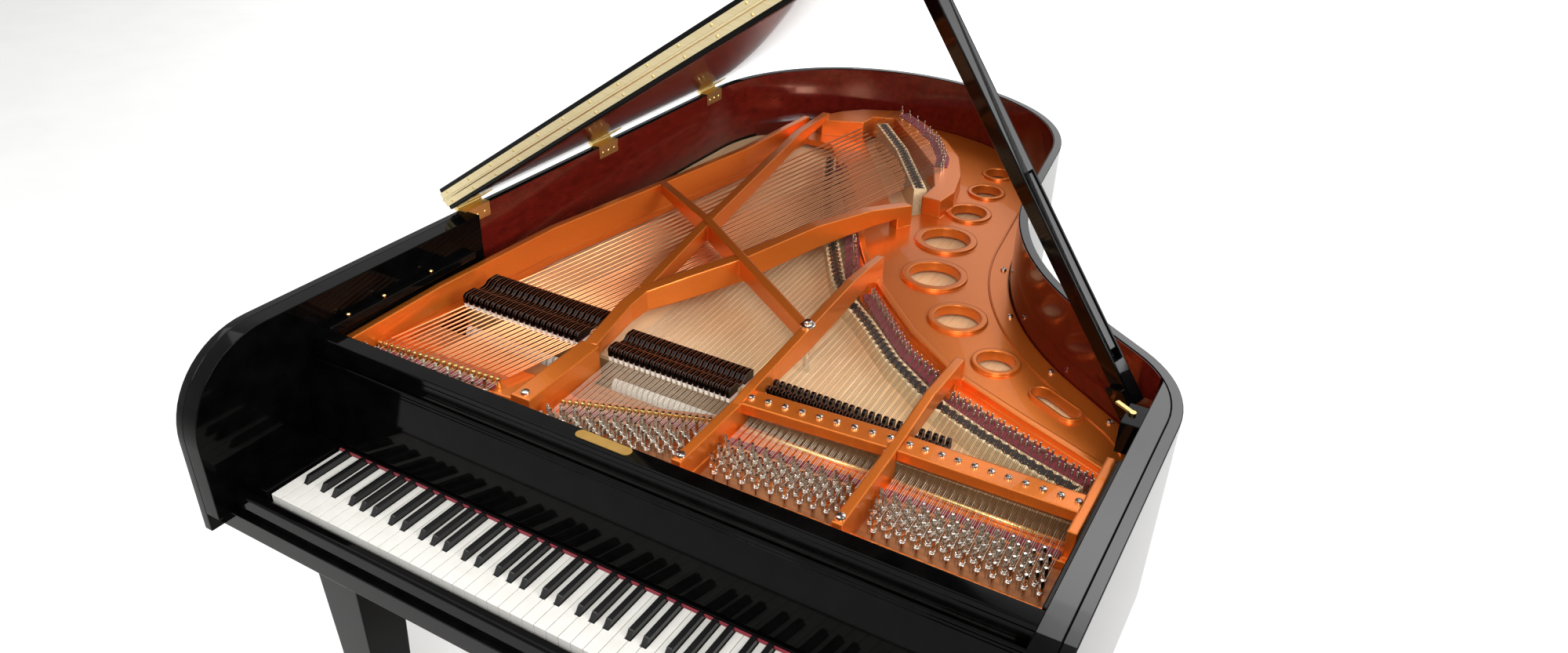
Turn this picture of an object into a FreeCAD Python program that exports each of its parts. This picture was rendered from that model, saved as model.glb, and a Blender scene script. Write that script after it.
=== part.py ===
import FreeCAD, Part
import math
import os
from types import SimpleNamespace

import Sketcher

# A grand piano with its lid up. Lengths are millimetres, angles are degrees.
# Shapes are drawn in the keyboard's own frame: x = 0 is the middle of the keyboard, +x the treble,
# y = 0 the front ends of the sharps, +y the tail, z = 0 the tops of the natural keys.
# One common placement then stands the piano on the floor, centred under its own outline.

SIZES = {
    # case
    "rim_wall": 19.0, "rim_top": 268.0, "rim_depth": 358.0, "key_height": 735.0,
    "arm_reach": 110.0, "arm_scroll": 170.0, "arm_thickness": 34.0, "left_arm_back": 580.0,
    "right_arm_back": 760.0, "cheek_run": 588.3, "cheek_radius": 242.5, "cheek_turn": 54.0,
    "waist_run": 134.4, "waist_radius": 670.6, "waist_turn": 46.7, "tail_run": 293.8,
    "tail_treble_radius": 406.2, "tail_treble_turn": 46.2, "tail_end_radius": 542.8, "tail_end_turn": 53.1,
    "inner_rim_wall": 45.0, "inner_rim_rise": 20.0,
    "key_room": 50.0, "keybed_thickness": 40.0, "keybed_reach": 85.0,
    "slip_thickness": 20.0, "slip_gap": 5.0, "slip_below_keys": 8.0, "slip_round": 6.0,
    "key_block_top": 7.5, "key_block_back": 134.0,
    "key_block_gap": 4.0, "key_block_width": 69.4, "rail_front": 100.0, "rail_low": 3.0, "rail_high": 8.0,
    "stretcher_front": 130.0, "stretcher_back": 162.0, "stretcher_low": 170.0, "stretcher_high": 212.0,
    "stretcher_round": 3.0,
    # belly
    "belly_front": 500.0, "belly_thickness": 36.0, "board_top": 92.0, "board_thickness": 8.0,
    "board_inset": 2.0, "rib_width": 24.0, "rib_height": 16.0, "rib_step": 150.0, "rib_angle": 14.0,
    "brace_width": 60.0, "brace_height": 70.0, "brace_step": 280.0, "bridge_width": 32.0,
    "bridge_crown": 0.6, "bass_bridge_drop": 3.6,
    # pin block and plate
    "block_top": 104.0, "block_thickness": 36.0, "block_front": 170.0, "block_back": 398.0,
    "web_top": 120.0, "plate_gap": 4.0, "port_ring_height": 6.0, "strut_low": 146.0, "strut_rise": 83.0,
    "flange_width": 40.0, "flange_front": 560.0, "cross_low": 162.0, "strut_width": 18.0, "rib_wall": 16.0,
    "bass_strut_width": 26.0, "bass_strut_foot": 40.0, "cross_width": 20.0, "hitch_rim_width": 14.0,
    "hitch_rim_height": 14.0,
    "shelf_top": 165.0,
    "capo_top": 170.0, "capo_lip": 150.0, "capo_depth": 48.0, "capo_edge": 8.0,
    "rod_radius": 3.5, "agraffe_width": 7.0, "agraffe_depth": 9.0, "agraffe_height": 17.0,
    "pin_radius": 4.0, "pin_top": 150.0, "pin_bite": 20.0, "pin_row_step": 14.0, "tenor_row_step": 11.5,
    "bass_pin_lead": 31.0, "tenor_pin_lead": 40.0, "treble_pin_lead": 80.0, "top_pin_lead": 90.0,
    "felt_height": 6.0, "felt_width": 12.0, "screw_radius": 9.0, "screw_height": 5.0,
    "edge_screw_radius": 6.5,
    # strings
    "string_height": 130.0, "string_radius": 0.5, "unison_step": 3.2, "bass_string_radius": 1.4,
    "bass_unison_step": 5.0, "bass_rise": 38.0,
    # keyboard and action
    "natural_pitch": 23.5, "key_gap": 1.0, "natural_reach": 50.0, "key_back": 400.0, "key_thickness": 20.0,
    "sharp_width": 10.0, "sharp_clear": 1.2, "sharp_rise": 12.0, "sharp_back": 95.0, "sharp_slope": 9.0,
    "frame_gap": 0.3, "balance_place": 190.0, "balance_width": 8.0, "key_rail_width": 40.0,
    "front_rail_drop": 32.0, "frame_margin": 12.0, "frame_reach": 40.0, "hammer_pivot": 352.0,
    "hammer_pivot_height": 40.0,
    "strike_place": 455.0, "hammer_top": 85.0, "hammer_depth": 20.0, "hammer_width": 9.0,
    "shank_height": 7.0,
    "hammer_rail_width": 24.0, "hammer_rail_height": 18.0, "damper_front": 442.0, "damper_width": 9.0,
    "bass_damper_length": 104.0, "tenor_damper_length": 84.0, "treble_damper_front": 482.0,
    "treble_damper_length": 36.0, "damper_height": 30.0, "damper_lift_gap": 0.4, "damper_dip": 9.0,
    "tray_front": 430.0, "tray_depth": 40.0, "tray_height": 18.0,
    # fallboard
    "fall_foot_place": 101.0, "fall_foot_height": 15.5, "fall_length": 155.0, "fall_thickness": 20.0,
    "fall_lean": 9.3, "fall_side_gap": 0.6,
    # lid
    "lid_thickness": 21.0, "lid_overhang": 14.0, "lid_gap": 4.0, "lid_angle": 34.4, "lid_front": 555.0,
    "flap_gap": 6.0, "flap_stack_gap": 6.0, "flap_reach": 470.0,
    "hinge_radius": 5.0, "hinge_length": 70.0, "hinge_leaf": 28.0, "leaf_thickness": 2.4, "leaf_edge": 9.0,
    "knuckle_radius": 2.6, "knuckle_clear": 0.5,
    # prop
    "prop_width": 42.0, "prop_depth": 26.0, "prop_foot_inset": 54.4, "prop_foot_y": 735.0,
    "prop_foot_z": 205.0,
    "prop_heel": 15.0, "prop_gap": 0.5, "half_stick_length": 330.0, "half_stick_width": 14.0,
    "half_stick_depth": 20.0, "half_stick_clear": 1.0, "half_stick_start": 90.0, "bracket_wall": 9.0,
    "bracket_half": 24.0, "bracket_rise": 22.0, "bracket_drop": 32.0, "bracket_base": 18.0,
    "catch_base_width": 36.0, "catch_base_front": 592.0, "catch_base_depth": 64.0, "catch_base_low": 182.0,
    "catch_base_top": 240.0, "catch_width": 12.0, "catch_thickness": 4.0, "catch_length": 36.0,
    "catch_turn": 58.0,
    "desk_rail_width": 18.0, "desk_rail_height": 16.0, "desk_rail_top": 206.0, "desk_rail_front": 170.0,
    "desk_rail_back": 540.0,
    # legs, lyre and casters
    "leg_top": 112.0, "leg_foot": 78.0, "leg_plate": 150.0, "leg_plate_thickness": 30.0,
    "caster_height": 72.0,
    "front_leg_inset": 145.4, "front_leg_y": 70.0, "rear_leg_inset": 475.4, "rear_leg_y": 1760.0,
    "wheel_radius": 30.0, "wheel_width": 20.0, "fork_wall": 5.0, "fork_gap": 0.4, "caster_trail": 14.0,
    "stem_radius": 16.0, "fork_depth": 28.0, "fork_cap": 6.0,
    "lyre_place": 96.0, "lyre_width": 280.0, "lyre_depth": 74.0, "lyre_head_height": 34.0,
    "pedal_box_height": 62.0, "pedal_box_low": 86.0, "lyre_pillar": 34.0, "lyre_pillar_step": 150.0,
    "pedal_step": 74.0, "pedal_width": 38.0, "pedal_tail_width": 16.0, "pedal_thickness": 14.0,
    "pedal_reach": 150.0, "pedal_back": 12.0, "pedal_clear": 12.0, "pedal_rod_radius": 5.0,
    "pedal_rod_place": 150.0, "pedal_rod_top": 12.0, "hole_clear": 1.5,
    "brace_side": 18.0, "brace_back": 420.0, "brace_spread": 120.0,
    "cut_overrun": 40.0,
}

doc = FreeCAD.newDocument("grand_piano")
sheet = doc.addObject("Spreadsheet::Sheet", "dims")
for row, (alias, size) in enumerate(SIZES.items(), start=1):
    sheet.set(f"A{row}", alias)
    sheet.set(f"B{row}", str(size))
    sheet.setAlias(f"B{row}", alias)
doc.recompute()
dim = SimpleNamespace(**{alias: float(sheet.get(alias)) for alias in SIZES})

V = FreeCAD.Vector
TINY = 1e-6
UP = V(0, 0, 1)
NATURALS = 52
key_span = NATURALS / 2 * dim.natural_pitch
key_end = key_span + dim.key_block_gap
arm_inner = key_end + dim.key_block_width
half_case = arm_inner + dim.arm_thickness + dim.rim_wall
rear_leg_x = -half_case + dim.rear_leg_inset
rim_bottom = dim.rim_top - dim.rim_depth
keybed_top = -dim.key_room
keybed_low = keybed_top - dim.keybed_thickness
board_low = dim.board_top - dim.board_thickness
floor_level = -dim.key_height


def outward(heading):
    """The level direction to the right of a heading."""
    angle = math.radians(heading)
    return V(math.sin(angle), -math.cos(angle), 0)


def plan_edges(inset, start):
    """Case outline from the treble front round the tail to the bass front, moved inwards by inset."""
    x, y, heading = half_case, dim.cheek_run, 90.0
    edges = [Part.LineSegment(V(x - inset, start, 0), V(x - inset, y, 0)).toShape()]
    runs = [
        (dim.cheek_radius, dim.cheek_turn), (0, dim.waist_run), (dim.waist_radius, -dim.waist_turn),
        (0, dim.tail_run), (dim.tail_treble_radius, dim.tail_treble_turn),
        (dim.tail_end_radius, dim.tail_end_turn), (None, None),
    ]
    for radius, amount in runs:
        out = outward(heading)
        along = V(math.cos(math.radians(heading)), math.sin(math.radians(heading)), 0)
        here = V(x, y, 0)
        if radius == 0:
            there = here + along * amount
            edges.append(Part.LineSegment(here - out * inset, there - out * inset).toShape())
            x, y = there.x, there.y
            continue
        if radius is None:
            amount = 270.0 - heading
            radius = (x + half_case) / (1 + math.sin(math.radians(heading)))
        side = math.copysign(1, amount)
        centre = here - out * (side * radius)
        reach = radius - side * inset

        start_arm, middle_arm, end_arm = (outward(heading + turn) * side for turn in (0, amount / 2, amount))
        edges.append(Part.Arc(centre + start_arm * reach, centre + middle_arm * reach,
                              centre + end_arm * reach).toShape())
        end = centre + end_arm * radius
        x, y, heading = end.x, end.y, heading + amount
    edges.append(Part.LineSegment(V(x + inset, y, 0), V(x + inset, start, 0)).toShape())
    return edges


def along_rim(inset, share):
    """A place at a share of the way round the case outline, moved inwards by inset."""
    edges = plan_edges(inset, 0)
    left = share * sum(edge.Length for edge in edges)
    for edge in edges:
        if left <= edge.Length:
            point = edge.valueAt(edge.getParameterByLength(left))
            return point.x, point.y
        left -= edge.Length
    return edges[-1].Vertexes[-1].Point.x, 0


def plan_face(inset, start):
    """The area inside the case outline, behind the line y = start."""
    edges = plan_edges(inset, start)
    first, last = edges[0].Vertexes[0].Point, edges[-1].Vertexes[-1].Point
    return Part.Face(Part.Wire(edges + [Part.LineSegment(last, first).toShape()]))


def raised(face, low, high):
    """A flat face stood up between two heights."""
    solid = face.extrude(UP * (high - low))
    solid.translate(UP * low)
    return solid


def polygon(points):
    """A flat face with straight sides in plan."""
    corners = [V(x, y, 0) for x, y in points]
    return Part.Face(Part.makePolygon(corners + corners[:1]))


def slab(points, low, high):
    """An upright prism with straight sides."""
    return raised(polygon(points), low, high)


def block(x0, x1, y0, y1, z0, z1):
    """A rectangular block between two corners."""
    return Part.makeBox(x1 - x0, y1 - y0, z1 - z0, V(x0, y0, z0))


def across(points, x0, x1):
    """A side profile of (y, z) corners run from x0 to x1."""
    corners = [V(x0, y, z) for y, z in points]
    return Part.Face(Part.makePolygon(corners + corners[:1])).extrude(V(x1 - x0, 0, 0))


def solid_from(faces):
    """A closed solid from lists of corner points, one list for each face."""
    shell = Part.makeShell([Part.Face(Part.makePolygon(list(f) + [f[0]])) for f in faces])
    solid = Part.makeSolid(shell)
    if solid.Volume < 0:
        solid.reverse()
    return solid


def strut(points, width, low):
    """A straight-sided rib in plan, whose points are (x, y, top height), mitred at its corners."""
    parts = []
    rights = []
    for index, (x, y, top) in enumerate(points):
        ahead = points[min(index + 1, len(points) - 1)]
        behind = points[max(index - 1, 0)]
        along = V(ahead[0] - behind[0], ahead[1] - behind[1], 0).normalize()
        rights.append(V(along.y, -along.x, 0) * (width / 2))
    for index in range(len(points) - 1):
        quads = []
        for (x, y, top), right in zip(points[index:index + 2], rights[index:index + 2]):
            quads.append([V(x, y, low) - right, V(x, y, low) + right, V(x, y, top) + right, V(x, y,
                                                                                              top) - right])
        near, far = quads
        faces = [near[::-1], far]
        for k in range(4):
            a, b, c, d = near[k], near[(k + 1) % 4], far[(k + 1) % 4], far[k]
            faces += [[a, b, c], [a, c, d]]
        parts.append(solid_from(faces))
    return parts


def swept_section(start, end, section):
    """A bar along start to end in plan whose section is (distance to the left, height) corners."""
    along = V(end[0] - start[0], end[1] - start[1], 0)
    left = V(-along.y, along.x, 0).normalize()
    corners = [V(start[0], start[1], z) + left * offset for offset, z in section]
    return Part.Face(Part.makePolygon(corners + corners[:1])).extrude(along)


def fused(shapes):
    """One solid from shapes that touch or overlap, with leftover seams removed."""
    first, *rest = shapes
    return first.fuse(rest).removeSplitter()


def blend(first, last, share):
    """A point part of the way from first to last."""
    return tuple(a + (b - a) * share for a, b in zip(first, last))


def along_line(points, share):
    """A point at a share of the length of a line with corners."""
    lengths = [math.dist(a, b) for a, b in zip(points, points[1:])]
    left = share * sum(lengths)
    for (a, b), length in zip(zip(points, points[1:]), lengths):
        if left <= length:
            return blend(a, b, left / length)
        left -= length
    return points[-1]


# Where the piano stands: the case and the raised lid's hinge edge give the outline's middle.
lid_lean = math.radians(dim.lid_angle)
lid_hinge_x = -half_case - dim.hinge_radius
lid_hinge_z = dim.rim_top + dim.lid_gap / 2
lid_stack = dim.lid_gap / 2 + 2 * dim.lid_thickness + dim.flap_stack_gap
left_reach = lid_hinge_x + dim.hinge_radius * math.cos(lid_lean) - lid_stack * math.sin(lid_lean)
tail_reach = plan_face(-dim.lid_overhang, 0).BoundBox.YMax
FRAME = FreeCAD.Placement(
    V(-(left_reach + half_case) / 2, -(tail_reach - dim.arm_reach) / 2, dim.key_height), FreeCAD.Rotation())

parts = {}


def place(obj, label, placement=FRAME):
    """Names a finished sub-part and stands it in the piano's frame."""
    obj.Label = label
    obj.Placement = placement
    parts[label] = obj
    return obj


def add_shape(label, solids, placement=FRAME):
    """A sub-part made of one solid or of a group of separate solids."""
    obj = doc.addObject("Part::Feature", label)
    obj.Shape = Part.makeCompound([solids] if isinstance(solids, Part.Shape) else solids)
    return place(obj, label, placement)


def add_profile(label, corners, width, rounds=None):
    """A bar of one side profile, padded evenly both ways from the middle of the keyboard.

    corners are (y, z) expressions in the sheet's names, width is an expression, and rounds gives the
    expression of a fillet's radius for the long edges at the profile's upper corners.
    """
    body = doc.addObject("PartDesign::Body", label)
    plane = next(f for f in body.Origin.OriginFeatures if f.Role == "YZ_Plane")
    sketch = body.newObject("Sketcher::SketchObject", label + "_profile")
    sketch.AttachmentSupport = (plane, [""])
    sketch.MapMode = "FlatFace"
    values = [tuple(evaluate(text) for text in corner) for corner in corners]
    count = len(values)
    for index in range(count):
        start, end = values[index], values[(index + 1) % count]
        sketch.addGeometry(Part.LineSegment(V(*start, 0), V(*end, 0)))
    for index in range(count):
        sketch.addConstraint(Sketcher.Constraint("Coincident", index, 2, (index + 1) % count, 1))
    for index, corner in enumerate(corners):
        for kind, text in zip(("DistanceX", "DistanceY"), corner):
            value = evaluate(text)
            number = sketch.addConstraint(Sketcher.Constraint(kind, -1, 1, index, 1, value))
            sketch.setExpression(f"Constraints[{number}]", bound(text))
    pad = body.newObject("PartDesign::Pad", label + "_pad")
    pad.Profile = sketch
    pad.Midplane = True
    pad.setExpression("Length", bound(width))
    doc.recompute()
    if rounds:
        top = max(z for y, z in values)
        edges = [f"Edge{n}" for n, e in enumerate(pad.Shape.Edges, start=1)
                 if abs(e.Vertexes[0].Z - top) + abs(e.Vertexes[-1].Z - top) < TINY
                 and abs(e.Vertexes[0].X - e.Vertexes[-1].X) > dim.cut_overrun]
        fillet = body.newObject("PartDesign::Fillet", label + "_round")
        fillet.Base = (pad, edges)
        fillet.setExpression("Radius", bound(rounds))
        doc.recompute()
    return place(body, label)


def bound(text):
    """An expression of the sheet's names, as a bound property needs it."""
    for alias in sorted(SIZES, key=len, reverse=True):
        text = text.replace("<" + alias + ">", "dims." + alias)
    return text


def evaluate(text):
    """The number that an expression of the sheet's names stands for, sums and differences only."""
    total, sign = 0.0, 1
    for word in text.split():
        if word in "+-":
            sign = 1 if word == "+" else -1
            continue
        factor, name = word.split("*") if "*" in word else ("1", word)
        total += sign * float(factor) * getattr(dim, name.strip("<>"))
        sign = 1
    return total


# The case: rim, arms, keybed and the rails in front of the player
BED_TOP = "0*<key_room> - <key_room>"
BED_LOW = BED_TOP + " - <keybed_thickness>"
BETWEEN_ARMS = f"{NATURALS}*<natural_pitch> + 2*<key_block_gap> + 2*<key_block_width>"


def scroll_cut(x0, x1):
    """The space in front of the rounded front corner of the arms."""
    front = -dim.arm_reach
    centre = V(x0, front + dim.arm_scroll, dim.rim_top - dim.arm_scroll)
    lean = math.sqrt(0.5) * dim.arm_scroll
    arc = Part.Arc(V(x0, front, centre.z), centre + V(0, -lean, lean), V(x0, centre.y,
                                                                         dim.rim_top)).toShape()
    high, far = dim.rim_top + dim.cut_overrun, front - dim.cut_overrun
    path = [V(x0, centre.y, dim.rim_top), V(x0, centre.y, high), V(x0, far, high), V(x0, far, centre.z),
            V(x0, front, centre.z)]
    lines = [Part.LineSegment(a, b).toShape() for a, b in zip(path, path[1:])]
    return Part.Face(Part.Wire([arc] + lines)).extrude(V(x1 - x0, 0, 0))


arm_front = -dim.arm_reach
scroll = scroll_cut(-half_case - dim.cut_overrun, half_case + dim.cut_overrun)
rim_band = plan_face(0, arm_front).cut(plan_face(dim.rim_wall, arm_front - dim.cut_overrun))
add_shape("outer_rim", raised(rim_band, rim_bottom, dim.rim_top).cut(scroll))

inner_band = plan_face(dim.rim_wall, dim.belly_front).cut(
    plan_face(dim.rim_wall + dim.inner_rim_wall, dim.belly_front - dim.cut_overrun))
add_shape("inner_rim", raised(inner_band, rim_bottom + dim.inner_rim_rise, board_low))

arm_space = raised(plan_face(dim.rim_wall, arm_front), keybed_top, dim.rim_top)
right_arm = block(arm_inner, half_case, arm_front, dim.right_arm_back, keybed_top, dim.rim_top)
left_arm = block(-half_case, -arm_inner, arm_front, dim.left_arm_back, keybed_top, dim.rim_top)
belly_cut = block(-half_case, half_case, dim.belly_front, dim.right_arm_back + dim.cut_overrun, keybed_low,
                  dim.board_top)
arms = [arm.common(arm_space).cut([scroll, belly_cut]) for arm in (left_arm, right_arm)]
add_shape("arm_blocks", [solid for arm in arms for solid in arm.Solids])

rod_x = [step * dim.pedal_step for step in (-1, 0, 1)]
keybed = block(-half_case + dim.rim_wall, half_case - dim.rim_wall, -dim.keybed_reach, dim.belly_front,
               keybed_low, keybed_top)
hole_half = dim.pedal_rod_radius + dim.hole_clear
rod_holes = [block(x - hole_half, x + hole_half, dim.pedal_rod_place - hole_half,
                   dim.pedal_rod_place + hole_half,
                   keybed_low - dim.cut_overrun, keybed_top + dim.cut_overrun) for x in rod_x]
add_shape("keybed", keybed.cut(rod_holes))

key_blocks = [block(x0, x1, -dim.natural_reach - dim.slip_gap, dim.rail_front, keybed_top, dim.key_block_top)
              for x0, x1 in ((-arm_inner, -key_end), (key_end, arm_inner))]
add_shape("key_blocks", key_blocks)
add_profile("key_rail", [("<rail_front>", "<rail_low>"), ("<key_block_back>", "<rail_low>"),
                         ("<key_block_back>", "<rail_high>"), ("<rail_front>", "<rail_high>")], BETWEEN_ARMS)
SLIP_BACK = "0*<slip_gap> - <natural_reach> - <slip_gap>"
SLIP_FRONT = SLIP_BACK + " - <slip_thickness>"
SLIP_TOP = "0*<slip_gap> - <slip_below_keys>"
add_profile("key_slip", [(SLIP_FRONT, BED_TOP), (SLIP_BACK, BED_TOP), (SLIP_BACK, SLIP_TOP),
                         (SLIP_FRONT, SLIP_TOP)], BETWEEN_ARMS, "<slip_round>")
add_profile("stretcher", [("<stretcher_front>", "<stretcher_low>"), ("<stretcher_back>", "<stretcher_low>"),
                          ("<stretcher_back>", "<stretcher_high>"), ("<stretcher_front>",
                                                                     "<stretcher_high>")],
            BETWEEN_ARMS, "<stretcher_round>")
BELLY_BACK = "<belly_front> + <belly_thickness>"
add_profile("belly_rail", [("<belly_front>", BED_LOW), (BELLY_BACK, BED_LOW),
                           (BELLY_BACK, "<board_top> - <board_thickness>"),
                           ("<belly_front>", "<board_top> - <board_thickness>")],
            BETWEEN_ARMS + " + 2*<arm_thickness> - 2*<inner_rim_wall>")
add_profile("pin_block", [("<block_front>", "<block_top> - <block_thickness>"),
                          ("<block_back>", "<block_top> - <block_thickness>"), ("<block_back>",
                                                                                "<block_top>"),
                          ("<block_front>", "<block_top>")], BETWEEN_ARMS)

# The belly: soundboard, its ribs, the braces under it and the two bridges
plan_length = plan_face(0, 0).BoundBox.YMax


def spot(share):
    """A place in plan from its shares of the half width and of the length of the case."""
    return share[0] * half_case, share[1] * plan_length


def spots(shares):
    """A line of such places."""
    return [spot(share) for share in shares]


def ridge(shares):
    """A line of such places with top heights, from shares of the highest strut's rise above the web."""
    return [spot(share[:2]) + (dim.web_top + share[2] * dim.strut_rise,) for share in shares]


add_shape("soundboard", raised(plan_face(dim.rim_wall + dim.board_inset, dim.belly_front), board_low,
                               dim.board_top))

inside_rim = dim.rim_wall + dim.inner_rim_wall
belly_space = plan_face(inside_rim, dim.belly_front + dim.belly_thickness)


def beam(start, heading, width, low, high):
    """A straight beam under the soundboard, ending at the inner rim."""
    along = V(math.cos(math.radians(heading)), math.sin(math.radians(heading)), 0) * plan_length
    left = V(-along.y, along.x, 0).normalize() * (width / 2)
    corners = [start - along - left, start + along - left, start + along + left, start - along + left]
    return raised(polygon([(c.x, c.y) for c in corners]).common(belly_space), low, high)


rib_count = int((plan_length - dim.belly_front - inside_rim) / dim.rib_step)
first_rib_share = 0.4
rib_starts = [V(-half_case, dim.belly_front + (number + first_rib_share) * dim.rib_step, 0)
              for number in range(rib_count)]
ribs = [beam(start, -dim.rib_angle, dim.rib_width, board_low - dim.rib_height, board_low)
        for start in rib_starts]
add_shape("soundboard_ribs", [solid for rib in ribs for solid in rib.Solids])

brace_places = [rear_leg_x - dim.brace_step, rear_leg_x, rear_leg_x + dim.brace_step]
brace_low = rim_bottom + dim.inner_rim_rise
braces = [beam(V(x, dim.belly_front, 0), 90.0, dim.brace_width, brace_low, brace_low + dim.brace_height)
          for x in brace_places]
add_shape("rim_braces", [solid for brace in braces for solid in brace.Solids])

long_bridge_shares = (
    (0.837, 0.267), (0.716, 0.281), (0.580, 0.299), (0.452, 0.320), (0.377, 0.338), (0.263, 0.369),
    (0.127, 0.418), (0.023, 0.451), (-0.060, 0.487), (-0.212, 0.577), (-0.369, 0.677), (-0.529, 0.798))
bass_bridge_shares = ((-0.468, 0.912), (-0.294, 0.837), (-0.084, 0.724))


def bridge(shares, top):
    """A bridge that winds over the soundboard, flat on top."""
    points = [spot(share) + (top,) for share in shares]
    return fused(strut(points, dim.bridge_width, dim.board_top))


bridge_top = dim.string_height - dim.string_radius - dim.bridge_crown
bass_height = dim.string_height + dim.bass_rise - dim.bass_bridge_drop
bass_top = bass_height - dim.bass_string_radius - dim.bridge_crown
add_shape("bridges", [bridge(long_bridge_shares, bridge_top), bridge(bass_bridge_shares, bass_top)])

# The cast plate: one panel with windows, ports, struts, hitch rims and a raised shelf for the bass
plate_shares = (
    (-0.928, 0.086), (0.891, 0.086), (0.891, 0.351), (0.976, 0.381), (0.976, 1.053), (-0.407, 1.053),
    (-0.583, 0.956), (-0.651, 0.928), (-0.712, 0.883), (-0.747, 0.863), (-0.762, 0.702), (-0.819, 0.552),
    (-0.896, 0.377), (-0.915, 0.218))
bass_window_shares = (
    (-0.881, 0.158), (-0.407, 0.176), (-0.319, 0.163), (0.016, 0.208), (0.080, 0.208), (0.065, 0.457),
    (0.038, 0.468), (0.000, 0.494),
    (-0.149, 0.599), (-0.407, 0.752), (-0.597, 0.848), (-0.705, 0.848), (-0.726, 0.702), (-0.784, 0.552),
    (-0.861, 0.377), (-0.881, 0.218))
bass_bridge_window_shares = (
    (-0.095, 0.667), (-0.319, 0.790), (-0.529, 0.898), (-0.522, 0.928), (-0.448, 0.938), (-0.292, 0.875),
    (-0.129, 0.803), (-0.054, 0.742), (-0.052, 0.702))
treble_window_shares = (
    (0.075, 0.208), (0.455, 0.208), (0.455, 0.337), (0.429, 0.351), (0.312, 0.379), (0.190, 0.420),
    (0.084, 0.456), (0.060, 0.462))
top_window_shares = ((0.450, 0.208), (0.881, 0.208), (0.881, 0.283), (0.651, 0.310), (0.450, 0.340))
pin_window_shares = (
    ((-0.902, 0.093), (-0.407, 0.093), (-0.407, 0.133), (-0.902, 0.119)),
    ((-0.332, 0.093), (0.049, 0.093), (0.049, 0.180), (-0.332, 0.133)),
    ((0.084, 0.129), (0.441, 0.131), (0.441, 0.181), (0.084, 0.175)),
    ((0.470, 0.131), (0.881, 0.131), (0.881, 0.184), (0.470, 0.181)))
shelf_shares = (
    (-0.052, 0.702), (0.014, 0.702), (0.024, 0.737), (-0.014, 0.793), (-0.081, 0.848), (-0.176, 0.893),
    (-0.339, 0.948), (-0.475, 0.971), (-0.597, 0.948), (-0.658, 0.923), (-0.712, 0.883), (-0.678, 0.875),
    (-0.529, 0.898))
port_shares = (
    (0.049, 0.872, 0.056), (0.071, 0.807, 0.064), (0.085, 0.733, 0.075), (0.100, 0.647, 0.098),
    (0.165, 0.557, 0.098), (0.321, 0.482, 0.083), (0.494, 0.422, 0.064))
port_bore_share = 0.78
slot_shares = ((0.645, 0.392, 0.034), (0.730, 0.375, 0.034))
bass_foot_shares = ((-0.372, 0.113, 0.54), (-0.374, 0.211, 0.63))
bass_neck_shares = ((-0.374, 0.211, 0.63), (-0.407, 0.281, 0.77), (-0.407, 0.309, 0.84))
bass_strut_shares = (
    (-0.407, 0.309, 0.84), (-0.346, 0.355, 0.93), (-0.277, 0.415, 0.96), (-0.203, 0.528, 0.94),
    (-0.130, 0.611, 0.80), (-0.085, 0.648, 0.67))
bass_rear_shares = ((-0.085, 0.648, 0.67), (-0.060, 0.668, 0.60))
tenor_foot_shares = ((0.068, 0.113, 0.48), (0.071, 0.201, 0.58), (0.072, 0.213, 0.64))
tenor_strut_shares = (
    (0.072, 0.213, 0.64), (0.073, 0.226, 0.70), (0.068, 0.331, 0.90), (0.049, 0.434, 0.90),
    (0.040, 0.476, 0.80))
tenor_rear_shares = ((0.040, 0.476, 0.80), (0.031, 0.519, 0.67))
treble_foot_shares = ((0.460, 0.113, 0.48), (0.456, 0.201, 0.58), (0.455, 0.213, 0.61))
treble_strut_shares = ((0.455, 0.213, 0.61), (0.454, 0.241, 0.67), (0.448, 0.296, 0.75), (0.445, 0.350,
                                                                                          0.67))
treble_rear_shares = ((0.445, 0.350, 0.67), (0.443, 0.372, 0.63))
bass_wall_shares = (
    (-0.914, 0.100, 0.54), (-0.905, 0.218, 0.67), (-0.877, 0.377, 0.75), (-0.800, 0.552, 0.75),
    (-0.743, 0.702, 0.72), (-0.726, 0.863, 0.67))
treble_wall_shares = ((0.880, 0.190, 0.60), (0.880, 0.300, 0.55))
diagonal_shares = ((-0.678, 0.888, 0.70), (-0.643, 0.783, 0.88), (-0.491, 0.485, 0.99), (-0.412, 0.312,
                                                                                         0.84))
cross_shares = ((-0.800, 0.548, 0.76), (-0.496, 0.474, 0.99), (-0.277, 0.416, 1.00), (0.065, 0.330, 0.89))
hitch_rim_shares = (
    ((-0.011, 0.527), (-0.084, 0.567), (-0.150, 0.607)),
    ((0.034, 0.508), (0.136, 0.469), (0.258, 0.424), (0.435, 0.375)),
    ((0.450, 0.372), (0.637, 0.341), (0.885, 0.303)))


def disc(share, low, high, scale=1):
    """An upright round post whose diameter is a share of the case's width."""
    x, y = spot(share[:2])
    return Part.makeCylinder(share[2] * half_case * scale, high - low, V(x, y, low))


def slot(low, high, scale=1):
    """An upright post with two round ends."""
    ends = [disc(share, low, high, scale) for share in slot_shares]
    (x0, y0), (x1, y1) = spots(s[:2] for s in slot_shares)
    along = V(x1 - x0, y1 - y0, 0).normalize()
    left = V(-along.y, along.x, 0) * (slot_shares[0][2] * half_case * scale)
    middle = slab([(x0 - left.x, y0 - left.y), (x1 - left.x, y1 - left.y), (x1 + left.x, y1 + left.y),
                   (x0 + left.x, y0 + left.y)], low, high)
    return fused(ends + [middle])


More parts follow.
